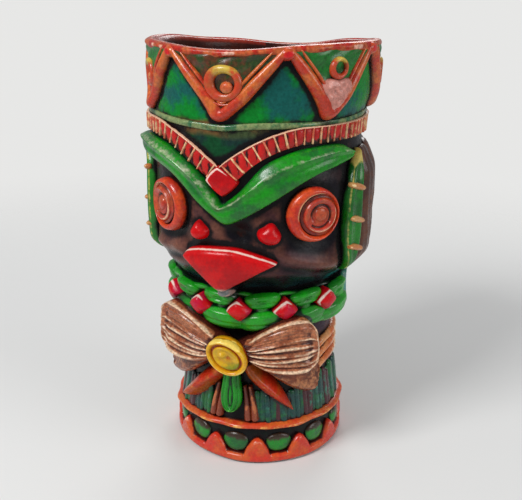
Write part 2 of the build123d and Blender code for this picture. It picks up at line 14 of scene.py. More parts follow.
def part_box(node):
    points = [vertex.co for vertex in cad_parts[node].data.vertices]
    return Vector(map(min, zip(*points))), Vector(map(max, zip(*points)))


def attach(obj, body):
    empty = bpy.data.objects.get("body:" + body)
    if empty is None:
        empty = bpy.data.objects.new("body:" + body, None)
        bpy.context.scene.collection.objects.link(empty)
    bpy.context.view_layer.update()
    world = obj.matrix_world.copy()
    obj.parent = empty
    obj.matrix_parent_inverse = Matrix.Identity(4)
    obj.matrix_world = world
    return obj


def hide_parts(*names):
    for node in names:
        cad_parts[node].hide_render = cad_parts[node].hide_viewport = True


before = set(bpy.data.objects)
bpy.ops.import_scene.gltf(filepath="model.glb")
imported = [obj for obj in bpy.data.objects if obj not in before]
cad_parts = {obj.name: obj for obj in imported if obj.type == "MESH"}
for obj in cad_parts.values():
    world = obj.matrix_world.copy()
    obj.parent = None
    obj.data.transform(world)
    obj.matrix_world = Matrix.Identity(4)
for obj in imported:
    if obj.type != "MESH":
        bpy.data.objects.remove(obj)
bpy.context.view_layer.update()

# ---- Cup ----
# One thrown wall with a floor and a foot ring, in brown stoneware. Its outside is carved a little for the
# face before the other pieces are laid on, and it is glazed dark inside and painted in zones outside.
mm = 0.001
pieces = []


def reach_of(node):
    """Lowest and highest height of a CAD node's points, and their greatest distance from the axis."""
    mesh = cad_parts[node].data
    points = np.empty(len(mesh.vertices) * 3)
    mesh.vertices.foreach_get("co", points)
    x, y, z = points.reshape(-1, 3).T / mm
    return z.min(), z.max(), np.hypot(x, y).max()


cup_tree = BVHTree.FromObject(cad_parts["mug_body"], bpy.context.evaluated_depsgraph_get())
mug_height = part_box("mug_body")[1].z / mm
levels = np.linspace(0.05, mug_height - 0.05, 331)
floor_level = cup_tree.ray_cast(Vector((0, 0, 1)), Vector((0, 0, -1)))[0].z / mm
recess_level = cup_tree.ray_cast(Vector((0, 0, -1)), Vector((0, 0, 1)))[0].z / mm


def cast(heights, start, direction):
    """Distance from the axis at which a level ray along X meets the cup, for each height."""
    hits = [cup_tree.ray_cast(Vector((start, 0, z * mm)), Vector((direction, 0, 0)))[0] for z in heights]
    return np.array([hit.x for hit in hits]) / mm


def softened(values, reach):
    """Values averaged with their neighbours under a bell curve reach samples wide, ends held."""
    weights = np.exp(-0.5 * (np.arange(-3 * reach, 3 * reach + 1) / reach) ** 2)
    return np.convolve(np.pad(values, 3 * reach, mode="edge"), weights / weights.sum(), mode="valid")


def bell(value, middle, width):
    """Bell curve: 1 at the middle, and down to 1/e at a width away from it."""
    return np.exp(-(((value - middle) / width) ** 2))


outer_radii = softened(cast(levels, 0.1, -1), 4)
inner_levels = levels[levels > floor_level + 0.2]
inner_radii = softened(cast(inner_levels, 0, 1), 6)


def wall(height):
    """Outside radius of the cup at a height, read from the frame with its corners softened by the potter."""
    return np.interp(height, levels, outer_radii)


mouth_turns = np.arange(-180, 180, 45)
crown_start, crown_depth = 0.86 * mug_height, 0.14 * mug_height
mouth_levels = np.array((-4.9, -2.3, 0.6, 0.6, -0.7, 1.6, 1.6, -0.5))


def mouth_wave(turn, height):
    """How far the uneven mouth moves a point up: its level at eight turns, blended round the mug with bells, and
    fading out down the crown."""
    away = np.radians(np.asarray(turn)[..., None] - mouth_turns)
    share = np.exp(9 * (np.cos(away) - 1))
    wave = (share * mouth_levels).sum(axis=-1) / share.sum(axis=-1)
    return wave * np.clip((height - crown_start) / crown_depth, 0, 1.2) ** 1.5


def unevenness(turn, height):
    """Small swells left by hand work: three crossed sine waves of an eighth of a millimetre each."""
    angle = np.radians(turn)
    slow, middling, quick = 3 * angle + height / 17, 5 * angle - height / 9 + 1, 8 * angle + height / 6
    return 0.12 * (np.sin(slow) + np.sin(middling) + np.sin(quick))


def limited(value):
    """Value kept between 0 and 1."""
    return np.clip(value, 0, 1)


def wave(count, turn, start=0):
    """Sine wave that repeats a number of times round the mug, from a start in degrees."""
    return np.sin(np.radians(count * turn + start))


def round_the_wall(turn, height, out):
    """Points out from the wall at turns and heights: the radius is the wall's plus out, about the mug's axis."""
    turn, height, out = np.broadcast_arrays(turn, height, out)
    radius = wall(height) + out + unevenness(turn, height)
    angle = np.radians(turn)
    lifted = height + mouth_wave(turn, height)
    return np.stack([radius * np.sin(angle), -radius * np.cos(angle), lifted], axis=-1)


lean_push, lean_middle, lean_reach = 2.2, 133, 11.5


def lean(height):
    """Sideways shift of the clay at a height, as x and y: the head was pushed over by two millimetres, mostly
    towards -X, between the eyes and the crown."""
    push = lean_push * np.exp(-(((height - lean_middle) / lean_reach) ** 4))
    return np.stack([-0.95 * push, -0.31 * push], axis=-1)


def skin(points, tint=0.0, ring=False):
    """Closed skin over a grid of points. Columns run all round it. Rows run all round too in a ring, and else
    from one pole to the other, where the row is drawn together in its middle. Faces are turned outwards, which
    is the way that makes the volume positive."""
    rows, columns = points.shape[:2]
    tint = np.broadcast_to(tint, (rows, columns)).astype(float)
    number = np.arange(rows * columns).reshape(rows, columns)
    flat = points.reshape(-1, 3).copy()
    if ring:
        upper, lower = number, np.roll(number, -1, axis=0)
        ends = []
    else:
        flat[number[0]] = points[0].mean(axis=0)
        flat[number[-1]] = points[-1].mean(axis=0)
        upper, lower = number[1:-2], number[2:-1]
        first, last = number[1], number[-2]
        ends = [
            np.stack([np.full(columns, number[0, 0]), first, np.roll(first, -1)], axis=-1),
            np.stack([np.full(columns, number[-1, 0]), np.roll(last, -1), last], axis=-1),
        ]
    quads = np.stack([upper, lower, np.roll(lower, -1, axis=1), np.roll(upper, -1, axis=1)], axis=-1)
    quads = quads.reshape(-1, 4)
    sides = [quads[:, :3], quads[:, [0, 2, 3]], *ends]
    corners = flat[np.concatenate(sides)]
    volume = np.einsum("ij,ij->i", corners[:, 0], np.cross(corners[:, 1], corners[:, 2])).sum()
    turned = 1 if volume > 0 else -1
    faces = [side[:, ::turned] for side in [quads, *ends]]
    used, order = np.unique(np.concatenate([side.ravel() for side in faces]), return_inverse=True)
    cuts = np.cumsum([side.size for side in faces])[:-1]
    numbered = [part.reshape(side.shape) for part, side in zip(np.split(order, cuts), faces)]
    return flat[used], numbered, tint.ravel()[used]


def fire(node, skins, material, slot=None):
    """One finished piece that stands for a CAD node: its skins joined into a smooth mesh, riding on the mug. A slot
    name is made from the material's name, without the number that Blender adds, unless another is given, but
    nothing uses it."""
    slot = slot or material.name.split(".")[0]
    points, faces, tints, start = [], [], [], 0
    for skin_points, skin_faces, skin_tint in skins:
        points.append(skin_points)
        tints.append(skin_tint)
        for group in skin_faces:
            faces.extend((group + start).tolist())
        start += len(skin_points)
    points = np.concatenate(points)
    points[:, :2] += lean(points[:, 2])
    mesh = bpy.data.meshes.new(f"{node}_fired")
    mesh.from_pydata((points * mm).tolist(), [], faces)
    mesh.attributes.new("tint", "FLOAT", "POINT").data.foreach_set("value", np.concatenate(tints))
    mesh.polygons.foreach_set("use_smooth", np.ones(len(mesh.polygons), bool))
    mesh.materials.append(material)
    mesh.update()
    piece = bpy.data.objects.new(f"{node}_fired", mesh)
    bpy.context.scene.collection.objects.link(piece)
    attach(piece, "root")
    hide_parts(node)
    pieces.append(piece)
    return piece


def upright(piece):
    """Turn, height and distance from the middle for each point of a piece, with the lean taken out."""
    at = np.empty(len(piece.data.vertices) * 3)
    piece.data.vertices.foreach_get("co", at)
    at = at.reshape(-1, 3) / mm
    x, y = (at[:, :2] - lean(at[:, 2])).T
    return np.degrees(np.arctan2(x, -y)), at[:, 2], np.hypot(x, y)


def wire(tree, kind, links=None, **settings):
    """New node of a kind. Each named or numbered input is linked to a socket or set to a value."""
    made = tree.nodes.new(kind)
    for key, value in settings.items():
        setattr(made, key, value)
    for key, value in (links or {}).items():
        if isinstance(value, bpy.types.NodeSocket):
            tree.links.new(value, made.inputs[key])
        else:
            made.inputs[key].default_value = value
    return made


def stepped(tree, value, low, high, bottom=0.0, top=1.0):
    """Value socket that rises smoothly from bottom to top while another goes from low to high."""
    links = {"Value": value, "From Min": low, "From Max": high, "To Min": bottom, "To Max": top}
    return wire(tree, "ShaderNodeMapRange", links, interpolation_type="SMOOTHSTEP").outputs["Result"]


# Hand glazing: two brushed colours in patches, dark stain that is also painted shade in the recesses, and worn
# high edges that are also painted highlights.
hand_glaze = bpy.data.node_groups.new("hand_glaze", "ShaderNodeTree")
colour_labels = ("Glaze", "Second Glaze", "Tint", "Stain", "Worn")
amount_labels = ("Stain Depth", "Worn Height", "Patch Scale", "Speckle")
for label in colour_labels + amount_labels:
    kind = "NodeSocketColor" if label in colour_labels else "NodeSocketFloat"
    hand_glaze.interface.new_socket(label, in_out="INPUT", socket_type=kind)
for label, kind in (("Color", "Color"), ("Roughness", "Float"), ("Normal", "Vector")):
    hand_glaze.interface.new_socket(label, in_out="OUTPUT", socket_type=f"NodeSocket{kind}")
given = wire(hand_glaze, "NodeGroupInput").outputs
spot = wire(hand_glaze, "ShaderNodeTexCoord").outputs["Object"]


def noise(scale, detail, roughness):
    """Value socket of noise through the clay, in the glazing group."""
    links = {"Vector": spot, "Scale": scale, "Detail": detail, "Roughness": roughness}
    return wire(hand_glaze, "ShaderNodeTexNoise", links).outputs["Fac"]


def reckoned(how, first, second):
    """Value socket of a sum, difference or product, in the glazing group."""
    return wire(hand_glaze, "ShaderNodeMath", {0: first, 1: second}, operation=how).outputs[0]


def blended(share, first, second, how="MIX"):
    """Colour socket that goes from the first colour to the second with a share, in the glazing group."""
    links = {0: share, 6: first, 7: second}
    return wire(hand_glaze, "ShaderNodeMix", links, data_type="RGBA", blend_type=how).outputs[2]


patches = noise(given["Patch Scale"], 4.0, 0.62)
speckle = noise(900.0, 3.0, 0.6)
brushed = noise(380.0, 5.0, 0.7)
depth = wire(hand_glaze, "ShaderNodeAttribute", attribute_name="depth").outputs["Fac"]
tint_share = wire(hand_glaze, "ShaderNodeAttribute", attribute_name="tint").outputs["Fac"]
uneven = reckoned("SUBTRACT", brushed, 0.5)
colour = blended(stepped(hand_glaze, patches, 0.42, 0.6), given["Glaze"], given["Second Glaze"])
tint_mask = stepped(hand_glaze, reckoned("ADD", tint_share, uneven), 0.3, 0.7)
colour = blended(tint_mask, colour, given["Tint"])
# Dark stain and painted shade where the clay round a point stands out beyond it.
rough_depth = reckoned("ADD", depth, reckoned("MULTIPLY", uneven, 1.3))
stain_and_shade_start = reckoned("MULTIPLY", given["Stain Depth"], 0.15)
stain_and_shade_mask = stepped(hand_glaze, rough_depth, stain_and_shade_start, given["Stain Depth"])
colour = blended(stain_and_shade_mask, colour, given["Stain"])
# Wear and painted highlight where a point stands out beyond the clay round it.
rough_height = reckoned("SUBTRACT", reckoned("MULTIPLY", uneven, 2.2), depth)
worn_and_highlight_full = reckoned("ADD", given["Worn Height"], 0.5)
colour = blended(stepped(hand_glaze, rough_height, given["Worn Height"], worn_and_highlight_full), colour, given["Worn"])
flecks = reckoned("MULTIPLY", reckoned("SUBTRACT", speckle, 0.5), given["Speckle"])
lightness = reckoned("ADD", 1.0, flecks)
grey = wire(hand_glaze, "ShaderNodeCombineColor", {0: lightness, 1: lightness, 2: lightness}).outputs[0]
colour = blended(1.0, colour, grey, "MULTIPLY")
roughness = stepped(hand_glaze, brushed, 0.3, 0.7, 0.16, 0.4)
dents = reckoned("ADD", brushed, reckoned("MULTIPLY", speckle, 0.4))
bump = wire(hand_glaze, "ShaderNodeBump", {"Strength": 0.3, "Distance": 0.0004, "Height": dents})
results = {"Color": colour, "Roughness": roughness, "Normal": bump.outputs["Normal"]}
wire(hand_glaze, "NodeGroupOutput", results)


def glazed(
    name, glaze, second, stain, worn, tint=None,
    stain_depth=1.2, worn_height=0.55, patch=110.0, speckle=0.7, coat=0.22, shine=0.35,
):
    """Material of one hand-painted glaze under a clear coat. A colour is linear red, green and blue, or the name
    of the attribute that holds it. The stain colour is also painted shade and the worn colour also painted
    highlight. The stain and shade depth and the worn and highlight height are millimetres below and above the
    clay round a point."""
    material = bpy.data.materials.new(name)
    material.use_nodes = True
    tree = material.node_tree
    shader = tree.nodes["Principled BSDF"]
    shader.inputs["Coat Weight"].default_value = coat
    shader.inputs["Specular IOR Level"].default_value = shine
    shader.inputs["Coat Roughness"].default_value = 0.16
    laid = {}
    # The stain colour is also painted shade and the worn colour also painted highlight.
    for label, value in zip(colour_labels, (glaze, second, tint or glaze, stain, worn)):
        if isinstance(value, str):
            laid[label] = wire(tree, "ShaderNodeAttribute", attribute_name=value).outputs["Color"]
        else:
            laid[label] = (*value, 1)
    amounts = dict(zip(amount_labels, (stain_depth, worn_height, patch, speckle)))
    painted = wire(tree, "ShaderNodeGroup", {**laid, **amounts}, node_tree=hand_glaze)
    for label, target in (("Color", "Base Color"), ("Roughness", "Roughness"), ("Normal", "Normal")):
        tree.links.new(painted.outputs[label], shader.inputs[target])
    return material


# Near black for the stain, which is also painted shade in the recesses.
black_stain_and_shade = (0.008, 0.007, 0.008)
cream = (0.8, 0.62, 0.42)


def carving(turn, height):
    """Face carved into the cup: swells and hollows, each a bell over its turn and height, and two folds, each a
    bell round a sloping line from a corner of the beak to an ear."""
    out = np.zeros(np.broadcast(turn, height).shape)
    for at_turn, at_height, wide, tall, swell in (
        (5, 96, 7, 4, 0.9),
        (8, 100.5, 7.5, 4.5, -2.4),
        (-11, 101, 7.5, 5.5, 1.2),
        (21, 101, 7.5, 5.5, 1.2),
        (46, 101, 15, 8, -2.2),
        (-40, 100, 15, 8, -2.2),
        (-29, 92, 6, 3, 1.0),
        (0, 118, 34, 7, -0.8),
    ):
        away = ((turn - at_turn) / wide) ** 2 + ((height - at_height) / tall) ** 2
        out = out + swell * np.exp(-away)
    for start, end, fall in ((24, 64, 0.19), (-22, -60, 0.12)):
        along = (turn - start) / (end - start)
        line = 92.6 - fall * np.abs(turn - start)
        strength = limited(5 * along) * limited(5 - 5 * along)
        out = out + strength * 1.3 * bell(height, line, 2.2)
        out = out - strength * 0.7 * bell(height, line - 4.2, 1.6)
    return out


def turn_grid(count):
    """Turns evenly round the mug, as one column of a grid."""
    return np.linspace(-180, 180, count, endpoint=False)


cup_turns = turn_grid(300)[None, :]
rim_start = mug_height - 1.6
inside = inner_levels[inner_levels < rim_start][::3]
outside = np.linspace(rim_start, 0.9, 215)
inner_line = np.stack([np.interp(inside, inner_levels, inner_radii), inside], axis=-1)
rim_inner = np.interp(rim_start, inner_levels, inner_radii)
rim_outer = wall(rim_start)
foot_share = 0.61
foot_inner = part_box("mug_body")[1].x / mm * foot_share
cup_rows = [
    *[(share * inner_line[0, 0], floor_level) for share in (0, 0.3, 0.7, 0.95)],
    *inner_line,
    (rim_inner + 0.5, mug_height - 0.7),
    ((rim_inner + rim_outer) / 2, mug_height - 0.3),
    (rim_outer - 0.5, mug_height - 0.7),
    *np.stack([wall(outside), outside], axis=-1),
    (wall(0) - 0.7, 0.2),
    (wall(0) - 1.6, 0),
    (foot_inner + 1.0, 0),
    (foot_inner, 0.5),
    (foot_inner - 0.6, recess_level),
    (0, recess_level),
]
cup_radii, cup_heights = np.array(cup_rows).T[:, :, None]
on_outside = np.isclose(cup_radii, wall(cup_heights)) & (cup_heights < rim_start) & (cup_heights > 1)
shaped = np.where(on_outside, carving(cup_turns, cup_heights) + unevenness(cup_turns, cup_heights), 0)
cup_angles = np.radians(cup_turns)
cup_points = np.stack(
    np.broadcast_arrays(
        (cup_radii + shaped) * np.sin(cup_angles),
        -(cup_radii + shaped) * np.cos(cup_angles),
        cup_heights + mouth_wave(cup_turns, cup_heights),
    ),
    axis=-1,
)

cup_glaze = glazed(
    "brown_stoneware", "zone", "zone_two", black_stain_and_shade, (0.12, 0.07, 0.06), stain_depth=0.7,
    worn_height=1.4, patch=75.0, speckle=1.1, coat=0.03, shine=0.12,
)
cup = fire("mug_body", [skin(cup_points)], cup_glaze, "brown_glaze")


def band_middle(turn):
    """Height of the headband's middle: level round the back, and a V with hollow arms in front."""
    return 135.6 - 15.4 * limited(1 - np.abs(turn) / 42) ** 1.8


cup_turn, cup_z, cup_radius = upright(cup)
carved = carving(cup_turn, cup_z)
wandering = cup_z + 0.5 * wave(7, cup_turn) + 0.3 * wave(19, cup_turn)
is_jaw = (cup_z > 80) & (cup_z < 112)
is_nape = (cup_z > 60) & (cup_z < 80)
at_mouth = cup_z - mouth_wave(cup_turn, cup_z) > mug_height - 1.6
# The paint in layers, each with the share of it at a point and its two glazes. First come the zones, each from
# its lowest height up.
layers = [
    ((wandering - start) / 1.2 + 0.5, first, second)
    for start, first, second in (
        (-10.0, (0.008, 0.022, 0.012), (0.005, 0.01, 0.01)),
        (17.0, (0.006, 0.03, 0.026), (0.008, 0.013, 0.016)),
        (33.0, (0.075, 0.018, 0.02), (0.03, 0.012, 0.026)),
        # from 60 to the face at 84: near-black teal, which in front is painted shadow under the jaw
        (60.0, (0.007, 0.02, 0.022), (0.005, 0.006, 0.008)),
        (84.0, (0.125, 0.048, 0.034), (0.055, 0.021, 0.026)),
        # from 112 to the headband: near black, painted shade under the brow and the headband
        (112.0, (0.03, 0.016, 0.018), (0.012, 0.01, 0.014)),
    )
]
layers += [
    # the wedge over the headband, the olive line over that, and the green of the crown
    ((cup_z - band_middle(cup_turn)) / 0.8, (0.006, 0.06, 0.02), (0.01, 0.03, 0.03)),
    ((wandering - 134.5) / 1.6, (0.17, 0.085, 0.03), (0.05, 0.075, 0.03)),
    ((wandering - 139.6) / 0.8, (0.004, 0.2, 0.022), (0.008, 0.1, 0.085)),
    # painted shade, near black, in the hollows of the jaw, and painted highlight, paler brown, on its swells
    (is_jaw * -1.5 * carved, (0.006, 0.005, 0.008), (0.006, 0.005, 0.008)),
    (is_jaw * 0.35 * carved, (0.24, 0.1, 0.07), (0.24, 0.1, 0.07)),
    # teal under the cape, brown inside and orange on the rim
    (is_nape * (np.abs(cup_turn) - 60) / 6, (0.01, 0.12, 0.11), (0.01, 0.07, 0.08)),
    (1.0 * (cup_radius < wall(cup_z) - 2), (0.06, 0.012, 0.007), (0.028, 0.006, 0.005)),
    (1.0 * at_mouth, (0.34, 0.04, 0.022), (0.24, 0.02, 0.012)),
]
for name, pick in (("zone", 1), ("zone_two", 2)):
    paint = np.zeros((len(cup_z), 3))
    for layer in layers:
        paint = paint + limited(layer[0])[:, None] * (np.array(layer[pick]) - paint)
    colours = np.column_stack([paint, np.ones(len(cup_z))])
    cup.data.attributes.new(name, "FLOAT_COLOR", "POINT").data.foreach_set("color", colours.ravel())

# ---- Base band and base leaves ----
# A flat coil round the foot whose upper edge is pulled up into twelve points, in orange-red glaze, and an oval
# green leaf pressed on between each two points.
base_bottom, point_top, base_far = reach_of("base_band")
leaf_bottom, leaf_top, _ = reach_of("base_leaves")
base_out = base_far - wall(2)
first_point = 17.0
point_step = 30.0


def bedded(turn, height, out, floor=-0.9, tint=0.0):
    """Grid of points for a strip whose columns go over its top and back along an underside in the wall."""
    grids = np.broadcast_arrays(turn, height, out, tint)
    there_and_back = [*range(grids[0].shape[1]), -1, 0]
    turn, height, out, tint = (grid[:, there_and_back] for grid in grids)
    out[:, -2:] = floor
    return round_the_wall(turn, height, out), tint


def marked(tint, *known):
    """Marks of a tint, which is one number or a function of what is known of each point."""
    return tint(*known) if callable(tint) else tint


def shares_across(count):
    """Shares from -1 to 1 across a strip, as one row of a grid, closer together at the edges."""
    return np.sin(np.linspace(-np.pi / 2, np.pi / 2, count))[None, :]


def rounded(distance, reach):
    """Share of full height at a distance in from an edge: a quarter circle that is done after reach."""
    return np.sqrt(limited(1 - (1 - limited(distance / reach)) ** 2))


band_turns = turn_grid(900)[:, None]
band_share = shares_across(25) / 2 + 0.5
from_point = (np.abs((band_turns - first_point + 15) % point_step - 15)) * np.radians(1) * wall(5)
bluntness = 1.55 + 0.35 * np.cos(np.radians(2 * (band_turns - first_point)))
flame = limited(1 - (from_point / 5.4) ** bluntness)
band_edge = 4.4 + (point_top - 4.4) * (0.94 + 0.06 * wave(3.1, band_turns)) * flame
steep = np.hypot(1, np.gradient(band_edge, axis=0) / (np.radians(360 / 900) * wall(5)))
band_height = base_bottom + (band_edge - base_bottom) * band_share
from_edge, from_foot = (band_edge - band_height) / steep, band_height - base_bottom + 0.5
band_out = base_out * rounded(from_edge, 1.5) * rounded(from_foot, 1.6)
band_out = band_out - 0.55 * bell(band_height, 4.6, 0.9) * (1 - flame)
base_glaze = glazed(
    "base_glaze", (0.6, 0.03, 0.012), (0.62, 0.085, 0.016), (0.05, 0.004, 0.003), (0.82, 0.4, 0.24),
    stain_depth=0.8, worn_height=0.62,
)
fire("base_band", [skin(*bedded(band_turns, band_height, band_out), ring=True)], base_glaze)


def flowing(points, places):
    """Smooth line through points, read at places from 0 to 1: between two points a cubic whose end slopes are
    half the step between the neighbours."""
    points = np.asarray(points, float).reshape(len(points), -1)
    last = len(points) - 1
    spot = limited(places) * last
    left = np.minimum(spot.astype(int), last - 1)
    share = (spot - left)[:, None]
    before, start = points[np.maximum(left - 1, 0)], points[left]
    end, after = points[left + 1], points[np.minimum(left + 2, last)]
    slope_start, slope_end = (end - before) / 2, (after - start) / 2
    bend = 3 * (end - start) - 2 * slope_start - slope_end
    twist = 2 * (start - end) + slope_start + slope_end
    return start + slope_start * share + bend * share**2 + twist * share**3


def tilted(across, up, tilt):
    """The two distances from a middle after a turn by a tilt in degrees, anticlockwise from outside."""
    cosine, sine = np.cos(np.radians(tilt)), np.sin(np.radians(tilt))
    return across * cosine - up * sine, across * sine + up * cosine


def boss(
    turn, height, wide, tall, profile, outline=None,
    tilt=0.0, girth=None, spokes=48, rows=22, floor=-0.9, tint=0.0, relief=None,
):
    """Lump pressed on the wall. The profile lists the share of the radius and the height out from the middle to
    the edge, and outline gives the radius's share in each direction. Relief adds to the height out, and relief
    and tint are functions of the share and the direction. Sizes are true at the girth's radius."""
    line = flowing(profile, np.linspace(0, 1, rows))
    share, out = line[:, :1], line[:, 1:2]
    angle = np.linspace(0, 2 * np.pi, spokes, endpoint=False)[None, :]
    reach = 1.0 if outline is None else outline(angle)
    across, up = wide * share * reach * np.cos(angle), tall * share * reach * np.sin(angle)
    across, up = tilted(across, up, tilt)
    girth = girth or wall(height) + out.max() / 2
    turns, heights = turn + np.degrees(across / girth), height + up
    outs = out + (0 * angle if relief is None else relief(share, angle))
    turns = np.concatenate([turns, turns[-1:], turns[-1:] * 0 + turn])
    heights = np.concatenate([heights, heights[-1:], heights[-1:] * 0 + height])
    outs = np.concatenate([outs, np.full((2, spokes), floor)])
    marks = marked(tint, np.concatenate([share, [[1.0], [0.0]]]), angle)
    return skin(round_the_wall(turns, heights, outs), marks)


leaf_profile = [(0, 1.5), (0.35, 1.6), (0.7, 1.35), (0.92, 0.8), (1, 0)]


def leaf_painted_shade(share, angle):
    """Painted shade: dark brown towards the top."""
    return limited(share * np.sin(angle) * 1.2 + 0.02)


leaf_places = first_point + point_step / 2 + point_step * np.arange(12)
# Its tint, dark brown, is painted shade towards the tops of the leaves.
base_leaf_glaze = glazed(
    "base_leaf_glaze", (0.008, 0.23, 0.016), (0.008, 0.11, 0.022), black_stain_and_shade, (0.03, 0.3, 0.07),
    tint=(0.04, 0.022, 0.012), stain_depth=0.9, worn_height=0.9,
)
leaf_middle, leaf_half = (leaf_bottom + leaf_top) / 2 + 0.6, (leaf_top - leaf_bottom) / 2 + 1.1
leaves = [
    boss(place, leaf_middle, 5.7, leaf_half, leaf_profile, tilt=6 * np.sin(place), tint=leaf_painted_shade)
    for place in leaf_places
]
fire("base_leaves", leaves, base_leaf_glaze)

# ---- Hem cord ----
# A rolled coil round the bottom of the skirt, a little lumpy, in orange-red glaze that runs to yellow.
hem_bottom, hem_top, hem_far = reach_of("hem_cord")
hem_out = hem_far - wall((hem_bottom + hem_top) / 2)
coil_turns = turn_grid(720)[:, None]


def coil(low, high, out, lumps, sides=14, tint=0.0):
    """Coil of clay all the way round: a half-round section between two heights, each one number or one for each
    of the coil's turns. Its top swells in lumps, and tint is a function of the turn and the share across."""
    around = np.linspace(-np.pi / 2, np.pi / 2, sides)[None, :]
    swell = 1 + lumps * (wave(11, coil_turns) + wave(17, coil_turns, 40)) / 2
    heights = (low + high) / 2 + (high - low) / 2 * np.sin(around)
    outs = out * swell * np.cos(around) ** 0.8
    marks = marked(tint, coil_turns, np.sin(around))
    return skin(*bedded(coil_turns, heights, outs, tint=marks), ring=True)


def hem_sag(turn):
    """How far the hem hangs down, most on the side towards -X and a little on the other: a bell for each."""
    return -0.6 - 2.9 * bell(turn, -75, 46) - 0.8 * bell(turn, 105, 45)


hem_glaze = glazed(
    "hem_glaze", (0.58, 0.05, 0.014), (0.62, 0.13, 0.02), (0.05, 0.008, 0.004), (0.82, 0.42, 0.1),
    stain_depth=1.4, worn_height=1.0,
)
sag = hem_sag(coil_turns)
hem = coil(hem_bottom - 0.3 + sag, hem_top + 0.2 + sag, hem_out, lumps=0.14)
fire("hem_cord", [hem], hem_glaze)

# ---- Skirt strands ----
# Thin strands of clay hang side by side round the hips, each with its own lean and length. They are dark teal
# and green, with a maroon one here and there.
skirt_bottom, skirt_top = reach_of("skirt_strands")[:2]
strand_count = 96


def dome(share, *_):
    """Half-round section."""
    return np.sqrt(limited(1 - share**2))


def stroke(
    path, half_width, rise, seat=0.0, along=60, sides=14, ends=(1.0, 1.0), section=dome, tint=0.0, floor=-0.9
):
    """Strip of clay laid along a smooth path on the wall, lifted by its seat. A point stands out by the rise
    times the section, which is a function of the share across and the place along. Width and rise shrink to
    nothing in a quarter circle at each end, as long as that end's number times the half width."""
    places = (1 - np.cos(np.linspace(0, np.pi, along))) / 2
    turn, height = flowing(path, places).T
    girth = wall(height) + seat
    run, climb = np.gradient(np.radians(turn)) * girth, np.gradient(height)
    length = np.hypot(run, climb)
    run, climb = run / length, climb / length
    step = np.hypot(np.diff(np.radians(turn)) * girth[1:], np.diff(height))
    gone = np.concatenate([[0], np.cumsum(step)])
    widths, rises = (
        flowing(size, places)[:, 0] if np.size(size) > 1 else np.full(along, size)
        for size in (half_width, rise)
    )
    cap = rounded(gone, ends[0] * widths) * rounded(gone[-1] - gone, ends[1] * widths)
    share = shares_across(sides)
    across = share * (widths * cap)[:, None]
    turns = turn[:, None] - np.degrees(climb[:, None] * across / girth[:, None])
    heights = height[:, None] + run[:, None] * across
    outs = seat + (rises * cap**0.6)[:, None] * section(share, places[:, None])
    return skin(*bedded(turns, heights, outs, floor, tint))


strands = []
for number in range(strand_count):
    turn = 360 * (number + 0.5) / strand_count - 180
    if -17 < turn < 16:
        continue
    sway = 1.2 * np.sin(number * 2.4)
    top = skirt_top + 1.2 * np.sin(number * 1.7) + (2.5 if abs(turn) > 55 else 0)
    path = [
        (turn + sway, top), (turn + 0.5 * sway, (top + skirt_bottom) / 2),
        (turn - 0.4 * sway, skirt_bottom - 0.6 + hem_sag(turn)),
    ]
    width = 1.75 + 0.3 * np.sin(number * 3.1)
    rise = 1.35 + 0.35 * np.sin(number * 4.1)
    is_maroon = float(np.sin(number * 5.3) > 0.72)
    strands.append(stroke(path, width, rise, along=16, sides=8, ends=(0.8, 0.3), tint=is_maroon))
skirt_glaze = glazed(
    "skirt_glaze", (0.004, 0.05, 0.045), (0.006, 0.12, 0.02), black_stain_and_shade, (0.025, 0.17, 0.11),
    tint=(0.06, 0.01, 0.016), stain_depth=0.7, worn_height=0.7, patch=90.0, speckle=1.3,
)
fire("skirt_strands", strands, skirt_glaze)

# ---- Fringe strips and loin cloth ----
# Two narrow strips hang on each side of the loin cloth, a green tongue with two grooves that meet in a U.
fringe_bottom, fringe_top = reach_of("fringe_strips")[:2]
cloth_bottom, cloth_top = reach_of("loin_cloth")[:2]
fringe_glaze = glazed(
    "fringe_glaze", (0.22, 0.04, 0.014), (0.1, 0.02, 0.012), black_stain_and_shade, (0.46, 0.13, 0.04),
    worn_height=0.8,
)
fringe = []
for turn in (-14.0, -9.6, 9.6, 14.0):
    path = [(0.8 * turn, fringe_top), (turn, 26), (1.1 * turn, fringe_bottom)]
    fringe.append(stroke(path, [0.9, 1.4, 1.7], 3.0, along=24, sides=10, ends=(0.5, 0.4)))
fire("fringe_strips", fringe, fringe_glaze)


def between(first, second, out, along=60, sides=16, tint=0.0):
    """Clay between two smooth lines on the wall. Out and tint are functions of the place along the lines from 0
    to 1, the share across from -1 on the first line to 1 on the second, the distance in from the nearer line
    in millimetres, and the height."""
    places = (1 - np.cos(np.linspace(0, np.pi, along))) / 2
    one, two = flowing(first, places), flowing(second, places)
    share = shares_across(sides)
    line = one[:, None] * (1 - share[..., None]) / 2 + two[:, None] * (1 + share[..., None]) / 2
    turns, heights = line[..., 0], line[..., 1]
    apart = np.hypot(np.radians(one[:, 0] - two[:, 0]) * wall(one[:, 1]), one[:, 1] - two[:, 1])
    inset = apart[:, None] / 2 * (1 - np.abs(share))
    known = places[:, None], share, inset, heights
    points, marks = bedded(turns, heights, out(*known), tint=marked(tint, *known))
    capped = [0, *range(along), along - 1]
    return skin(points[capped], marks[capped])


def tongue_face(place, share, inset, _):
    """Plump tongue with two grooves at steady distances in from its outline, so that each is a U."""
    grooves = 0.9 * bell(inset, 1.5, 0.34) + 1.1 * bell(inset, 3.4, 0.45)
    return 5.4 - 1.2 * bell(place, 0, 0.25) - grooves - 3.2 * (1 - rounded(inset, 1.9))


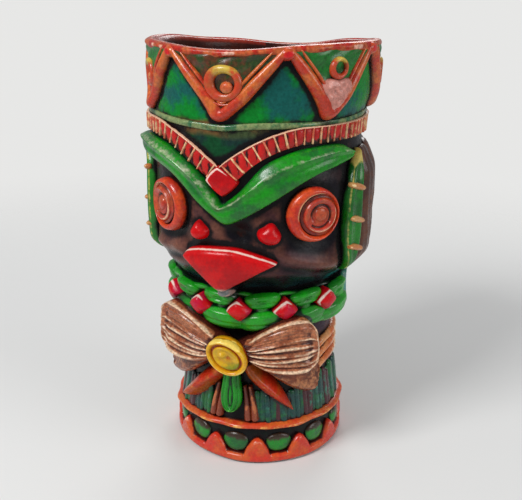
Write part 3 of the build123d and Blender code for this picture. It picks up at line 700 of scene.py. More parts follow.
cloth_glaze = glazed(
    "cloth_glaze", (0.002, 0.17, 0.004), (0.003, 0.24, 0.006), (0.001, 0.014, 0.003), (0.1, 0.46, 0.06),
    stain_depth=0.6, worn_height=1.0,
)
cloth_left = [
    (-7.0, cloth_top), (-7.8, 38), (-8.8, 31), (-8.0, 26.4), (-5.0, cloth_bottom + 0.4),
    (-1.1, cloth_bottom),
]
cloth_right = [
    (5.6, cloth_top), (5.2, 38), (6.6, 31), (6.0, 26.4), (2.8, cloth_bottom + 0.4), (-1.1, cloth_bottom)
]
cloth = between(cloth_left, cloth_right, tongue_face, along=80, sides=36)
fire("loin_cloth", [cloth], cloth_glaze)

# ---- Sash ----
# Three strands of clay wound round the waist, which rise from under the bow's ends to the back, in orange and
# cream.
sash_glaze = glazed(
    "sash_glaze", (0.6, 0.14, 0.03), (0.72, 0.32, 0.12), (0.06, 0.01, 0.008), cream, stain_depth=0.9,
    worn_height=1.05, speckle=1.2,
)
for name, climb in (("lower", 3.2), ("middle", 3.8), ("upper", 4.0)):
    sash_bottom, sash_top = reach_of(f"sash_{name}")[:2]
    middle = (sash_bottom + sash_top) / 2
    start, end = middle - climb * 0.5, middle + climb * 0.5
    path = [
        (53, start), (66, (start + end) / 2), (82, end), (130, end + 0.5), (180, end), (230, end + 0.5),
        (278, end), (294, (start + end) / 2), (307, start),
    ]
    strand = stroke(path, 1.9, 2.2, along=220, sides=12)
    fire(f"sash_{name}", [strand], sash_glaze)

# ---- Bow under-lobes ----
# The lower pair of the bow's loops, which lie flat on the cup under the upper pair and hang below it. They are
# brown-red, with a dark edge of stain and painted shade.
bow_turn = 1.8
bow_height = 52.4
under_out = reach_of("bow_under_lobe_right")[2] - wall(bow_height)


def on_bow(side, *points):
    """Turns and heights from points given round the bow's middle, on its right side with 1 or its left with -1."""
    return [(bow_turn + side * turn, bow_height + rise) for turn, rise in points]


def under_lobe_out(place, share, inset, _):
    """Flat loop that rises to its outer end, with five shallow folds along it and rounded edges."""
    folds = 0.6 * np.cos(5 * np.pi * share + 2 * place) * limited(4 * place * (1 - place))
    return (under_out - 1.2 + 1.6 * place) - 3.2 * (1 - rounded(inset, 2.2)) + folds


under_lobe_glaze = glazed(
    "under_lobe_glaze", (0.12, 0.028, 0.012), (0.22, 0.046, 0.014), (0.03, 0.01, 0.008), (0.5, 0.19, 0.075),
    stain_depth=0.9, worn_height=2.8, patch=160.0, speckle=1.5,
)
under_upper = ((6, 2), (20, 6), (38, 7), (48, 6), (53, 1), (54, -8), (53.5, -14))
under_lower = ((6, -3), (18, -9), (32, -16), (42, -19.6), (48, -20.8), (52, -20), (53.5, -14))
for side, name in ((1, "right"), (-1, "left")):
    loop = between(on_bow(side, *under_upper), on_bow(side, *under_lower), under_lobe_out)
    fire(f"bow_under_lobe_{name}", [loop], under_lobe_glaze)

# ---- Bow tails ----
# Two ends of the bow hang out to the sides from under the knot, each with a ridge down its middle: the right
# one long and pointed, the left one blunt. They are orange-red that runs to yellow.


def ridged(share, place):
    """Two slopes that meet in a soft ridge."""
    return (1 - np.abs(share) ** 1.3) * 0.75 + 0.25 * np.sqrt(limited(1 - share**2))


tail_glaze = glazed(
    "tail_glaze", (0.46, 0.024, 0.006), (0.44, 0.085, 0.01), (0.04, 0.006, 0.004), (0.74, 0.26, 0.04),
    stain_depth=1.8, worn_height=3.1, speckle=1.4, coat=0.12, shine=0.25,
)
right_path = on_bow(1, (7, -5), (13, -12), (22, -17.5), (31, -23), (39.5, -28.8))
left_path = on_bow(-1, (7, -5), (12, -12.5), (24, -19), (36, -26), (42.5, -29.2))
for name, path, widths, rises, blunt in (
    ("right", right_path, (2.6, 3.9, 3.8, 2.6, 0.7), (6.2, 7.2, 7.6, 6.8, 4.5), 1.5),
    ("left", left_path, (2.2, 3.2, 3.7, 3.5, 2.7), (6.2, 7.2, 7.8, 7.6, 6.4), 0.8),
):
    fire(
        f"bow_tail_{name}", [stroke(path, widths, rises, ends=(0.3, blunt), section=ridged, sides=15)],
        tail_glaze,
    )

# ---- Bow lobes ----
# The upper pair of loops stands far out from the cup. Each fans from the knot to a rolled outer end, with ribs
# raised along the fan. They are brown-orange, and the ribs and the piped edge are rubbed to cream.
lobe_out = reach_of("bow_lobe_right")[2] - wall(bow_height)


def ribbing(place, share):
    """Six narrow ribs that fan out from the knot across the lower part, each a bell round its own wandering line,
    and each stronger and weaker along its way."""
    ribs = 0 * place * share
    for number, middle in enumerate((-0.3, -0.06, 0.15, 0.36, 0.55, 0.73)):
        line = middle + 0.035 * np.sin(6 * place + 2.1 * number)
        strength = 0.8 + 0.3 * np.sin(9 * place + 3 * number)
        ribs = ribs + strength * bell(share, line, 0.05 + 0.012 * (number % 3))
    return ribs * limited((place - 0.06) / 0.2) * limited((0.89 - place) / 0.12)


def fan_out(place, share, inset, _):
    """Fan that rises from the knot to a rolled end, with ribs, fine strokes of a comb and a piped edge."""
    rise = lobe_out - 6.2 + 6.2 * limited(place / 0.85) ** 0.8
    roll = 0.5 * bell(place, 0.86, 0.06) - 0.7 * bell(place, 0.76, 0.05)
    combed = 0.13 * np.sin(17 * np.pi * share + 3 * np.sin(4 * place)) * limited(3 - 3 * place)
    piping = 0.6 * bell(inset, 0.9, 0.45) - 0.6 * bell(inset, 2.3, 0.6)
    face = rise + roll + combed + 1.25 * ribbing(place, share) - 0.45 + piping * (share < 0.2)
    return face - 4.6 * (1 - rounded(inset, 2.4))


def fan_cream(place, share, inset, _):
    """Cream left on the ribs and on the piped edge."""
    edge = 0.75 * bell(inset, 0.8, 0.5) * (share < 0.2) * limited(4 * place - 0.3)
    return limited(0.8 * ribbing(place, share) + edge)


bow_glaze = glazed(
    "bow_glaze", (0.42, 0.15, 0.068), (0.28, 0.076, 0.03), (0.075, 0.014, 0.008), (0.7, 0.44, 0.28),
    tint=(0.74, 0.52, 0.35), stain_depth=0.75, worn_height=1.3, patch=260.0, speckle=2.4,
)
lobe_upper = (
    (0, 0.6), (8, 3.6), (12, 5), (19, 8.8), (28, 12.2), (36, 13.8), (44, 13.3), (48.5, 9.4), (51, 2)
)
lobe_lower = (
    (0, 0.6), (7, -3.2), (12, -5.6), (21, -8.8), (31, -10.4), (40, -10.6), (46.5, -9.6), (50, -4.6), (51, 2)
)
for side, name in ((1, "right"), (-1, "left")):
    reach = 0.955 if side > 0 else 1.02
    upper, lower = ([(reach * turn, rise) for turn, rise in line] for line in (lobe_upper, lobe_lower))
    loop = between(
        on_bow(side, *upper), on_bow(side, *lower), fan_out, along=120, sides=130, tint=fan_cream
    )
    fire(f"bow_lobe_{name}", [loop], bow_glaze)

# ---- Knot ----
# An oval lump holds the bow together. A yellow coil is laid round its top and a yellow button is pressed into the
# middle, so that an orange groove is left between them.
knot_out = reach_of("bow_knot")[2] - wall(bow_height)
knot_tilt = -29


def hoop(
    turn, height, outer, inner, rise, shift=(0, 0),
    seat=0.0, tilt=0.0, spokes=64, sides=14, girth=None, floor=-0.9, tint=0.0,
):
    """Coil of clay laid in a ring on the wall: a half-round section between an outer oval and an inner one, which
    may be shifted, so that the coil is thicker on one side. It is lifted by its seat."""
    angle = np.linspace(0, 2 * np.pi, spokes, endpoint=False)[:, None]
    around = shares_across(sides)
    far, near = (1 + around) / 2, (1 - around) / 2
    across = outer[0] * np.cos(angle) * far + (inner[0] * np.cos(angle) + shift[0]) * near
    up = outer[1] * np.sin(angle) * far + (inner[1] * np.sin(angle) + shift[1]) * near
    across, up = tilted(across, up, tilt)
    girth = girth or wall(height) + seat + rise / 2
    outs = seat + rise * dome(around) ** 0.9
    marks = marked(tint, angle, around)
    return skin(*bedded(turn + np.degrees(across / girth), height + up, outs, floor, marks), ring=True)


knot_turn, knot_height = 0.4, 50.6
knot_glaze = glazed(
    "knot_glaze", (0.7, 0.3, 0.006), (0.74, 0.41, 0.01), (0.42, 0.055, 0.004), (0.88, 0.64, 0.12),
    stain_depth=1.1, worn_height=1.9,
)
knot_profile = [
    (0, knot_out - 1.0), (0.5, knot_out - 1.1), (0.8, knot_out - 1.2), (0.95, knot_out - 1.9),
    (1.0, knot_out - 3.2),
]
knot_body = boss(
    knot_turn, knot_height, 8.8, 6.8, knot_profile, tilt=knot_tilt, spokes=64, girth=42.0,
    floor=knot_out - 5,
)
fire("bow_knot", [knot_body], knot_glaze)
knot_coil = hoop(
    knot_turn, knot_height, (8.7, 6.7), (6.6, 4.7), 2.1, seat=knot_out - 1.6, tilt=knot_tilt, girth=42.0,
    floor=knot_out - 3,
)
fire("knot_ring", [knot_coil], knot_glaze)


def button_dish(share, angle):
    """Small point left of the middle and a dent beside it, each a bell."""
    across, up = share * np.cos(angle), share * np.sin(angle)
    point = 1.3 * np.exp(-((across + 0.32) ** 2 + (up - 0.05) ** 2) / 0.06)
    return point - 0.7 * np.exp(-((across - 0.08) ** 2 + (up - 0.12) ** 2) / 0.04)


def button_olive(share, angle):
    """Olive towards the lower right."""
    return limited(share * np.cos(angle + 0.5))


button_glaze = glazed(
    "button_glaze", (0.66, 0.38, 0.012), (0.56, 0.34, 0.014), (0.4, 0.06, 0.004), (0.88, 0.7, 0.22),
    tint=(0.22, 0.23, 0.012), patch=260.0, stain_depth=0.9, worn_height=1.0,
)
button_profile = [
    (0, knot_out - 0.5), (0.5, knot_out - 0.5), (0.8, knot_out + 0.1), (0.92, knot_out),
    (1.0, knot_out - 1.4),
]
button = boss(
    knot_turn + 0.2, knot_height, 6.0, 4.1, button_profile, tilt=knot_tilt, girth=42.0, spokes=48,
    floor=knot_out - 3, relief=button_dish, tint=button_olive,
)
fire("knot_button", [button], button_glaze)

# ---- Neck cape ----
# A sheet of clay round the sides and back of the neck, pressed into soft folds that open at its hem. It is teal,
# and its hem is rubbed pink.
cape_low, cape_high = reach_of("neck_cape")[:2]
garland_end = 84.0


def cape_out(place, share, inset, height):
    """Sheet that flares to its hem, with folds that grow downwards and rounded edges."""
    down = limited((cape_high - height) / (cape_high - cape_low))
    folds = 0.65 * (0.3 + down) * np.sin(44 * place * np.pi + 0.8 * np.sin(7 * place))
    return 2.6 + 2.7 * down**1.6 + folds - 1.6 * (1 - rounded(inset, 1.6))


def cape_pink(place, share, inset, height):
    """Pink along the hem."""
    return limited(1 - (height - cape_low) / 2.2)


cape_glaze = glazed(
    "cape_glaze", (0.008, 0.11, 0.1), (0.01, 0.17, 0.09), black_stain_and_shade, (0.04, 0.26, 0.21),
    tint=(0.5, 0.16, 0.14), worn_height=0.8, speckle=1.1,
)
cape_places = np.linspace(garland_end + 0.6, 360 - garland_end - 0.6, 25)
cape = between(
    [(turn, cape_high) for turn in cape_places], [(turn, cape_low) for turn in cape_places], cape_out,
    along=420, sides=20, tint=cape_pink,
)
fire("neck_cape", [cape], cape_glaze)

# ---- Garland ----
# A band of clay across the front of the neck under the chin, with two rows of plump leaves pressed on it and five
# cut diamonds standing out between them. Leaves and band are bright green, the diamonds red with a worn edge that
# carries a painted highlight towards the upper left.
garland_low, garland_high = reach_of("garland_band")[:2]
gem_places = np.array((-48.5, -20.5, 5.3, 33.0, 60.5))
gem_heights = np.array((67.8, 67.9, 68.3, 68.7, 70.2))
# Its worn colour on the crests of the leaves is wear and painted highlight.
leaf_glaze = glazed(
    "leaf_glaze", (0.008, 0.33, 0.008), (0.01, 0.22, 0.012), (0.002, 0.02, 0.006), (0.14, 0.5, 0.08),
    stain_depth=1.1, worn_height=1.5,
)


def garland_out(place, share, inset, height):
    """Band a little plumper at its lower edge, with rounded edges and a hollow round each diamond."""
    low = limited((garland_high - height) / (garland_high - garland_low))
    sockets = 0 * height
    for gem_turn, gem_height in zip(gem_places, gem_heights):
        away = (((2 * place - 1) * garland_end - gem_turn) / 9.5) ** 2 + ((height - gem_height) / 6.2) ** 2
        sockets = sockets + 3.4 * np.exp(-(away**2))
    end = 2.2 * (1 - rounded(0.5 - np.abs(place - 0.5), 0.03))
    return 4.0 + 2.4 * low - 2.4 * (1 - rounded(inset, 2.4)) + 0.3 * np.sin(40 * place) - sockets - end


garland_places = np.linspace(-garland_end, garland_end, 15)
garland = between(
    [(turn, garland_high) for turn in garland_places], [(turn, garland_low) for turn in garland_places],
    garland_out, along=200, sides=18,
)
fire("garland_band", [garland], leaf_glaze)


def leaf_outline(angle):
    """Plump leaf: an oval drawn out a little at its two ends."""
    return 1 / (np.abs(np.cos(angle)) ** 2.4 + np.abs(np.sin(angle)) ** 2.4) ** (1 / 2.4)


leaf_turns = [-66.5, *(gem_places[:-1] + gem_places[1:]) / 2, 73.0]
upper_profile = [(0, 5.2), (0.12, 5.1), (0.4, 5.6), (0.75, 4.9), (0.93, 3.6), (1, 2.2)]
lower_profile = [(0, 7.4), (0.3, 7.3), (0.6, 6.8), (0.85, 5.6), (0.95, 4.8), (1, 3.6)]


def crease(share, angle):
    """Shallow groove along a leaf below its middle, which fades towards its ends, and a raised upper edge."""
    up = share * np.sin(angle)
    return (0.5 * bell(up, 0.62, 0.2) - 0.35 * bell(up, -0.2, 0.14)) * limited(1.3 - share)


upper_leaves = [
    boss(
        turn, 72.3, 7.4, 3.5, upper_profile, leaf_outline, tilt=8 - 10 * (turn < 0), floor=1.5,
        relief=crease,
    )
    for turn in leaf_turns
]
lower_leaves = [
    boss(
        turn + 1.0, 64.0, 10.4, 4.5, lower_profile, leaf_outline, tilt=9 - 13 * (turn < 0), floor=1.5,
        relief=crease,
    )
    for turn in leaf_turns
]
fire("garland_leaves_upper", upper_leaves, leaf_glaze)
fire("garland_leaves_lower", lower_leaves, leaf_glaze)


def diamond(angle):
    """Square standing on its corner, with soft corners."""
    return 1 / (np.abs(np.cos(angle)) ** 1.2 + np.abs(np.sin(angle)) ** 1.2) ** (1 / 1.2)


# Its tint is the paler outline: wear all round and painted highlight towards the upper left.
gem_glaze = glazed(
    "gem_glaze", (0.58, 0.004, 0.008), (0.5, 0.004, 0.04), (0.1, 0.003, 0.006), (0.74, 0.12, 0.11),
    tint=(0.84, 0.62, 0.54), stain_depth=3.0, worn_height=2.8, speckle=0.6, coat=0.12, shine=0.22,
)
gem_profile = [(0, 8.6), (0.3, 8.4), (0.6, 7.8), (0.85, 6.4), (0.95, 5.0), (1, 2.4)]


def gem_edge_wear_and_highlight(share, angle):
    """Paler along the outline: wear all round and a painted highlight towards the upper left."""
    return bell(share, 0.84, 0.07) * limited(0.3 + np.cos(angle - 2.3))


gems = [
    boss(
        turn, height, 5.2, 5.0, gem_profile, diamond, tilt=8 * np.sin(4 * turn), rows=20, spokes=40,
        tint=gem_edge_wear_and_highlight, floor=1.5,
    )
    for turn, height in zip(gem_places, gem_heights)
]
fire("garland_gems", gems, gem_glaze)

# ---- Chin ----
# A small roll of clay that comes down from under the beak, greyish teal.
chin_low, _, chin_far = reach_of("chin")
chin_glaze = glazed(
    "chin_glaze", (0.3, 0.17, 0.15), (0.16, 0.17, 0.17), black_stain_and_shade, (0.52, 0.36, 0.32), worn_height=1.4
)
chin_path = [(-1.6, 80), (-1.6, 78), (-1.4, 76), (-1.2, chin_low - 1.5)]
chin_rises = [chin_far - wall(80) + 1.5, chin_far - wall(78) + 2, chin_far - wall(76) + 2.2, 7.6]
fire("chin", [stroke(chin_path, [2.6, 3.1, 3.2, 2.9], chin_rises, ends=(0.3, 0.8), sides=18)], chin_glaze)

# ---- Beak ----
# A smooth wide wedge of red glaze: a bowed upper edge, two short corners and a blunt point below. It stands at
# one radius, so it leaves the jaw further behind at its point, and a pale line of painted highlight runs along its
# top edge.
beak_radius = reach_of("beak")[2]
beak_top = [
    (-20.8, 90.6), (-20.0, 92.2), (-17.2, 93.7), (-10.8, 95.0), (-2.7, 95.6), (6.6, 95.6), (15.6, 93.8),
    (22.4, 91.9), (26.2, 90.4),
]
beak_bottom = [
    (-20.8, 90.6), (-20.0, 89.0), (-15.0, 86.6), (-10.0, 83.2), (-6.4, 80.0), (-4.0, 78.0), (-0.6, 77.8),
    (5.4, 81.0), (17.6, 87.0), (26.2, 90.4),
]


def beak_out(place, share, inset, height):
    """Distance out from the wall to a nearly upright face, which is fullest a third of the way down, drops back
    a little at its corners and point, and is rounded over at the edges."""
    corner = np.abs(2 * place - 1) ** 3
    face = beak_radius - 1.6 * corner - 0.0175 * (height - 90) ** 2 * (height < 90) - 0.4 * share**2
    return face - wall(height) - 3.6 * (1 - rounded(inset, 2.6))


def beak_highlight_and_wear(place, share, inset, height):
    """Painted highlight along the upper edge, a fainter pale line on the lower corners, and a worn point."""
    above, below = 0.8 * bell(inset, 0.55, 0.3) * (share < 0), 0.25 * bell(inset, 0.3, 0.3) * (share > 0)
    return 0.7 * bell(height, 77.8, 2.4) + above + below


# Its pale tint is a painted highlight on the beak's top edge and on the headband gem's outline, and wear elsewhere.
red_glaze = glazed(
    "red_glaze", (0.6, 0.003, 0.005), (0.42, 0.003, 0.006), (0.06, 0.002, 0.002), (0.74, 0.09, 0.06),
    tint=(0.86, 0.6, 0.52), stain_depth=3.0, worn_height=3.2, speckle=0.4, coat=0.12, shine=0.2,
)
beak = between(beak_top, beak_bottom, beak_out, along=120, sides=48, tint=beak_highlight_and_wear)
fire("beak", [beak], red_glaze)

# ---- Nose knobs ----
# Two red drops, with the point up, on either side above the beak.


def drop_outline(angle):
    """Round with a point drawn out at the top."""
    return 1 + 0.42 * bell(angle, np.pi / 2, 0.42)


knob_profile = [(0, 4.4), (0.5, 3.9), (0.85, 2.4), (1, 0.4)]
for turn, height, wide, tall, name, tilt in (
    (-12.6, 100.2, 4.0, 3.1, "left", 10),
    (22.0, 100.6, 4.6, 3.4, "right", -12),
):
    knob = boss(turn, height, wide, tall, knob_profile, drop_outline, tilt=tilt)
    fire(f"nose_knob_{name}", [knob], red_glaze)

# ---- Eyes ----
# Each eye is a coil laid in a ring, thicker on one side, and a round disc in its hollow that has a groove wound
# into it and a small round lump on its middle. Rings are orange-red, discs brick red and worn cream at the lower
# edge.
eye_ring_glaze = glazed(
    "eye_ring_glaze", (0.6, 0.06, 0.012), (0.5, 0.026, 0.012), (0.025, 0.005, 0.004), (0.78, 0.26, 0.09),
    tint=(0.8, 0.44, 0.22), stain_depth=1.2, worn_height=2.0, patch=150.0, speckle=1.3,
)
eye_disc_glaze = glazed(
    "eye_disc_glaze", (0.46, 0.036, 0.018), (0.48, 0.075, 0.024), (0.035, 0.006, 0.005), (0.66, 0.18, 0.1),
    tint=(0.8, 0.44, 0.26), stain_depth=1.1, worn_height=1.2, patch=200.0, speckle=1.2,
)
disc_profile = [
    (0, 2.6), (0.3, 2.7), (0.55, 2.9), (0.68, 3.4), (0.77, 3.6), (0.84, 3.0), (0.88, 2.5), (1, 2.4)
]
pupil_profile = [(0, 3.5), (0.4, 3.5), (0.8, 3.2), (1, 2.5)]


def wound(share, angle):
    """Groove that winds in once from the disc's edge: its share of the radius falls with the angle."""
    gone = ((angle - 3.9) % (2 * np.pi)) / (2 * np.pi)
    return -0.9 * bell(share, 0.62 - 0.2 * gone, 0.05) * limited(8 * (1 - gone))


def disc_pale(share, angle):
    """Cream wear along the rim, more on the lower right."""
    return bell(share, 0.78, 0.045) * limited(0.35 + 0.65 * np.cos(angle + 0.9))


def ring_pale(angle, share):
    """Paler wear along the inner edge."""
    return bell(share, -0.55, 0.2) * limited(np.cos(angle - 2.2))


for turn, height, aside, disc_turn, disc_height, name in (
    (43.2, 107.8, 2.1, 46.3, 107.5, "right"),
    (-34.8, 107.2, -2.2, -39.2, 106.7, "left"),
):
    ring = hoop(
        turn, height, (10.2, 10.2), (7.1, 7.5), 3.7, shift=(aside, -0.4), spokes=96, sides=20,
        tint=ring_pale, floor=-2.6,
    )
    fire(f"eye_ring_{name}", [ring], eye_ring_glaze)
    disc = boss(
        disc_turn, disc_height, 7.7, 7.6, disc_profile, spokes=96, rows=40, tint=disc_pale, floor=-2.6,
        relief=wound,
    )
    fire(f"eye_disc_{name}", [disc], eye_disc_glaze)
    pupil = boss(disc_turn + 0.2, disc_height + 0.3, 2.7, 2.7, pupil_profile, girth=44.0, floor=1.2)
    fire(f"pupil_{name}", [pupil], eye_disc_glaze)

# ---- Ears and ear bands ----
# A long leaf on each side of the face, with a hollow down its middle and three worn bands across it. The leaves
# are green and their tips cream.
ear_out = reach_of("ear_right")[2] - wall(105)
ear_front = (
    (68.4, 81.7), (65.0, 87), (62.8, 95), (62.4, 104), (63.2, 112), (65.8, 119), (71.4, 124.0),
    (80.5, 128.0),
)
ear_back = (
    (68.4, 81.7), (71.8, 86), (74.0, 94), (74.6, 104), (74.8, 112), (75.8, 118.5), (78.6, 123.6),
    (80.5, 128.0),
)


def ear_face(place, share, inset, _):
    """Leaf with raised rims and a hollow midrib."""
    hollow = 0.9 * bell(share, 0, 0.42) * limited(5 * place * (1 - place))
    return ear_out + 0.3 - hollow - 2.6 * (1 - rounded(inset, 1.7))


def ear_tip(place, share, inset, height):
    """Cream at the tip and worn along the front rim."""
    return limited((height - 122) / 3) + 0.55 * bell(inset, 0.5, 0.3) * (share < 0)


ear_glaze = glazed(
    "ear_glaze", (0.008, 0.2, 0.01), (0.008, 0.11, 0.014), black_stain_and_shade, (0.16, 0.42, 0.08),
    tint=(0.6, 0.48, 0.12), stain_depth=1.8, worn_height=1.9,
)
ear_band_glaze = glazed(
    "ear_band_glaze", (0.58, 0.19, 0.05), (0.6, 0.32, 0.11), (0.08, 0.02, 0.01), (0.82, 0.58, 0.28),
    worn_height=1.6,
)
for side, name in ((1, "right"), (-1, "left")):
    front, back = ([(side * turn, height) for turn, height in line] for line in (ear_front, ear_back))
    fire(f"ear_{name}", [between(front, back, ear_face, along=90, sides=24, tint=ear_tip)], ear_glaze)
    bands = [
        stroke(
            [(side * 63.6, low + 1.2), (side * 68, low + 0.3), (side * 74.2, low - 1.4)], [0.9, 1.3, 1.1],
            2.0, seat=3.0, along=24, floor=2.0,
        )
        for low in (92, 103, 115.5)
    ]
    fire(f"ear_bands_{name}", bands, ear_band_glaze)

# ---- Hair ----
# Thick locks of clay hang side by side round the back of the head, combed with a tool into strands, brown with
# dark stain and painted shade left between them.
hair_low, hair_high = reach_of("hair_locks")[:2]
lock_count = 12
lock_start = 81.0
lock_step = (360 - 2 * lock_start) / lock_count


def combed(share, place):
    """Half-round section with four grooves combed along it."""
    grooves = np.abs(np.sin(2 * np.pi * share + 0.7 * np.sin(6 * place))) ** 0.6
    return dome(share) ** 0.8 * (1 - 0.16 * grooves)


hair_glaze = glazed(
    "hair_glaze", (0.115, 0.036, 0.016), (0.06, 0.022, 0.014), black_stain_and_shade, (0.21, 0.08, 0.034),
    stain_depth=0.9, worn_height=0.9, speckle=1.0,
)
locks = []
for number in range(lock_count):
    turn = lock_start + (number + 0.5) * lock_step
    sway = 1.6 * np.sin(2.2 * number)
    path = [
        (turn, hair_high), (turn + sway, 116), (turn - 0.6 * sway, 102), (turn + 0.7 * sway, 89),
        (turn, hair_low),
    ]
    widths, rises = [5.8, 6.2, 6.1, 6.0, 4.6], [2.4, 3.4, 3.3, 3.2, 2.2]
    locks.append(stroke(path, widths, rises, along=80, sides=26, ends=(0.4, 0.5), section=combed))
fire("hair_locks", locks, hair_glaze)

# ---- Brow ----
# One thick piece over both eyes, a wide V whose arms run out to the ears. Its broad lower face is bright green
# and leans out to a crest; the slope above the crest is rubbed greyish cream.
brow_out = reach_of("brow")[2] - wall(110)
brow_upper = [
    (-70.5, 127.6), (-69.6, 129.6), (-65, 130.9), (-56, 131.5), (-45, 131.3), (-30, 129.6), (-17.5, 125.2),
    (-9.2, 119.6), (-3.6, 114.6), (-0.6, 111.9), (2.4, 113.2), (6.8, 116), (13.2, 120.6), (21.6, 125.7),
    (30.1, 128.8), (39, 130.8), (48.8, 131.6), (57.2, 131.8), (65, 131.2), (69.6, 129.6), (70.5, 127.6),
]
brow_lower = [
    (-70.5, 127.6), (-69.6, 125.4), (-65, 124.4), (-58, 124.4), (-51.9, 124.2), (-41.1, 122.8),
    (-31.9, 120.8), (-21.8, 116.6), (-13.5, 111.4), (-6.1, 107.2), (-1.8, 105.2), (1.6, 104.4),
    (5.4, 105.2), (11.4, 107.7), (21.7, 112.7), (29.9, 116.4), (38.4, 119.8), (48, 122.6), (58, 124.0),
    (69.6, 125.4), (70.5, 127.6),
]


def brow_face(place, share, inset, height):
    """Broad lower face that leans out to a crest near the upper edge, and a steep slope above it."""
    crest = -0.5
    below = limited((share - crest) / (1 - crest))
    above = limited((crest - share) / (1 + crest))
    narrowing = wall(105) - wall(np.maximum(height, 105))
    swell = 0.3 * np.sin(38 * place) * below - 0.5 * bell(below, 0.3, 0.2)
    face = brow_out + 0.6 * narrowing - 1.5 * below**1.5 - 2.8 * above**0.9 + swell
    return face - 1.5 * (1 - rounded(inset, 1.3))


def brow_wear_and_highlight(place, share, inset, _):
    """Cream rubbed along the crest and over the whole upper slope of the left arm, and a thin painted highlight
    along the lower edge.
    """
    right = 0.44 * bell(share, -0.5, 0.17) * (place > 0.46)
    left = 0.47 * bell(share, -0.6, 0.34) * (place <= 0.46)
    return right + left + 0.4 * bell(inset, 0.4, 0.25) * (share > 0)


# Its tint is cream: wear on the crest and the left arm's upper slope, painted highlight along the lower edge.
brow_glaze = glazed(
    "brow_glaze", (0.006, 0.25, 0.006), (0.005, 0.13, 0.016), (0.003, 0.014, 0.01), (0.14, 0.44, 0.08),
    tint=(0.46, 0.5, 0.32), stain_depth=2.2, worn_height=2.6, patch=95.0, speckle=1.2,
)
brow = between(brow_upper, brow_lower, brow_face, along=300, sides=44, tint=brow_wear_and_highlight)
fire("brow", [brow], brow_glaze)

# ---- Headband ----
# A flat strip wound round the head above the brow, which dips to a V in front. Thin cream ridges across it leave
# a row of plump red cells, and its upper edge is a worn orange line.
rib_count = 96


def band_half(turn):
    """Half the strip's width, measured upright, which is larger where the strip slopes."""
    return 3.3 + 1.7 * limited(1 - np.abs(turn) / 40) ** 2


def rib_turn(turn):
    """Turn of a rib from its even place: the ribs stand wider apart in front and closer at the back."""
    return turn + 14 * wave(1, turn)


def cells(share, turn):
    """Plump cell between two ribs with a thin raised line along the strip's upper edge."""
    even = np.linspace(-190, 190, 761)
    place = np.interp(turn, rib_turn(even), even)
    between_ribs = np.abs(np.sin(np.radians(place * rib_count / 2))) ** 0.5
    plump = 1.1 + 0.7 * between_ribs * np.sqrt(limited(1 - (share / 0.86) ** 2))
    line = 0.9 * bell(share, 0.9, 0.09) + 0.35 * bell(share, -0.93, 0.07)
    return (plump + line) * rounded((1 - np.abs(share)) * 3.5, 0.5)


headband_glaze = glazed(
    "headband_glaze", (0.56, 0.01, 0.009), (0.44, 0.012, 0.01), (0.02, 0.002, 0.003), (0.7, 0.05, 0.03),
    tint=(0.8, 0.46, 0.3), stain_depth=0.42, worn_height=0.9,
)
strip_turns, strip_share = turn_grid(1440)[:, None], shares_across(26)
strip_heights = band_middle(strip_turns) + band_half(strip_turns) * strip_share
orange = np.clip((strip_share - 0.82) / 0.08, 0, 0.75)
strip = skin(*bedded(strip_turns, strip_heights, cells(strip_share, strip_turns), tint=orange), ring=True)
fire("headband", [strip], headband_glaze)
rib_glaze = glazed(
    "rib_glaze", (0.78, 0.5, 0.26), (0.62, 0.13, 0.06), (0.16, 0.012, 0.01), cream, stain_depth=0.9,
    worn_height=0.9, patch=330.0, speckle=1.6,
)
ribs = []
for number in range(rib_count):
    turn = rib_turn(360 * number / rib_count - 180)
    if abs(turn) < 4:
        continue
    slope = (band_middle(turn + 0.5) - band_middle(turn - 0.5)) / (np.radians(1) * wall(130))
    reach = 0.94 * band_half(turn) / (1 + slope**2)
    shift = np.degrees(-slope * reach / wall(130))
    middle = band_middle(turn)
    path = [(turn - shift, middle - reach), (turn, middle), (turn + shift, middle + reach)]
    width, rise = 0.52 + 0.1 * np.sin(number * 2.3), 2.1 + 0.2 * np.sin(number * 1.3)
    ribs.append(stroke(path, width, rise, along=14, sides=8, ends=(0.6, 0.6)))
fire("headband_ribs", ribs, rib_glaze)

flat_profile = [(0, 2.9), (0.4, 2.8), (0.75, 2.6), (0.9, 2.4), (1, 1.2)]
headband_gem = boss(-0.2, 119.9, 6.3, 5.5, flat_profile, diamond, spokes=48, rows=20, tint=gem_edge_wear_and_highlight)
fire("headband_gem", [headband_gem], red_glaze, "gem_glaze")

# ---- Wrap ridge ----
# A thin raised line round the head above the headband, with cream on its crest that is wear and painted highlight.
ridge_low, ridge_high = reach_of("wrap_ridge")[:2]
ridge_glaze = glazed(
    "ridge_glaze", (0.2, 0.26, 0.1), (0.03, 0.13, 0.05), (0.03, 0.04, 0.015), (0.5, 0.5, 0.3),
    worn_height=0.6, patch=210.0, speckle=1.8,
)
# It dips in front, under the crown's first point.
ridge_dip = 0.25 * wave(5, coil_turns) - bell(coil_turns, 0, 15)
ridge = coil(ridge_low - 0.5 + ridge_dip, ridge_high + 0.3 + ridge_dip, 0.8, lumps=0.4, sides=18)
fire("wrap_ridge", [ridge], ridge_glaze)

# ---- Crown panels ----
# Seven triangles of thin clay hang points down round the mouth, speckled dark green and rusty brown.
crown_low = reach_of("crown_ropes")[0]
lip_low, lip_high = reach_of("lip_coil")[:2]
panel_out = reach_of("crown_panels")[2] - wall(lip_low)
panels = [(0.0, 28.0)] + [(side * turn, 23.6) for turn in (53.4, 103.9, 154.6) for side in (1, -1)]


def panel_face(place, share, inset, height):
    """Thin sheet with soft lumps."""
    lumps = 0.3 * np.sin(11 * place + 4 * share) + 0.25 * np.sin(19 * place - 9 * share)
    return panel_out + 0.2 + lumps - 0.5 * (1 - rounded(inset, 0.8))


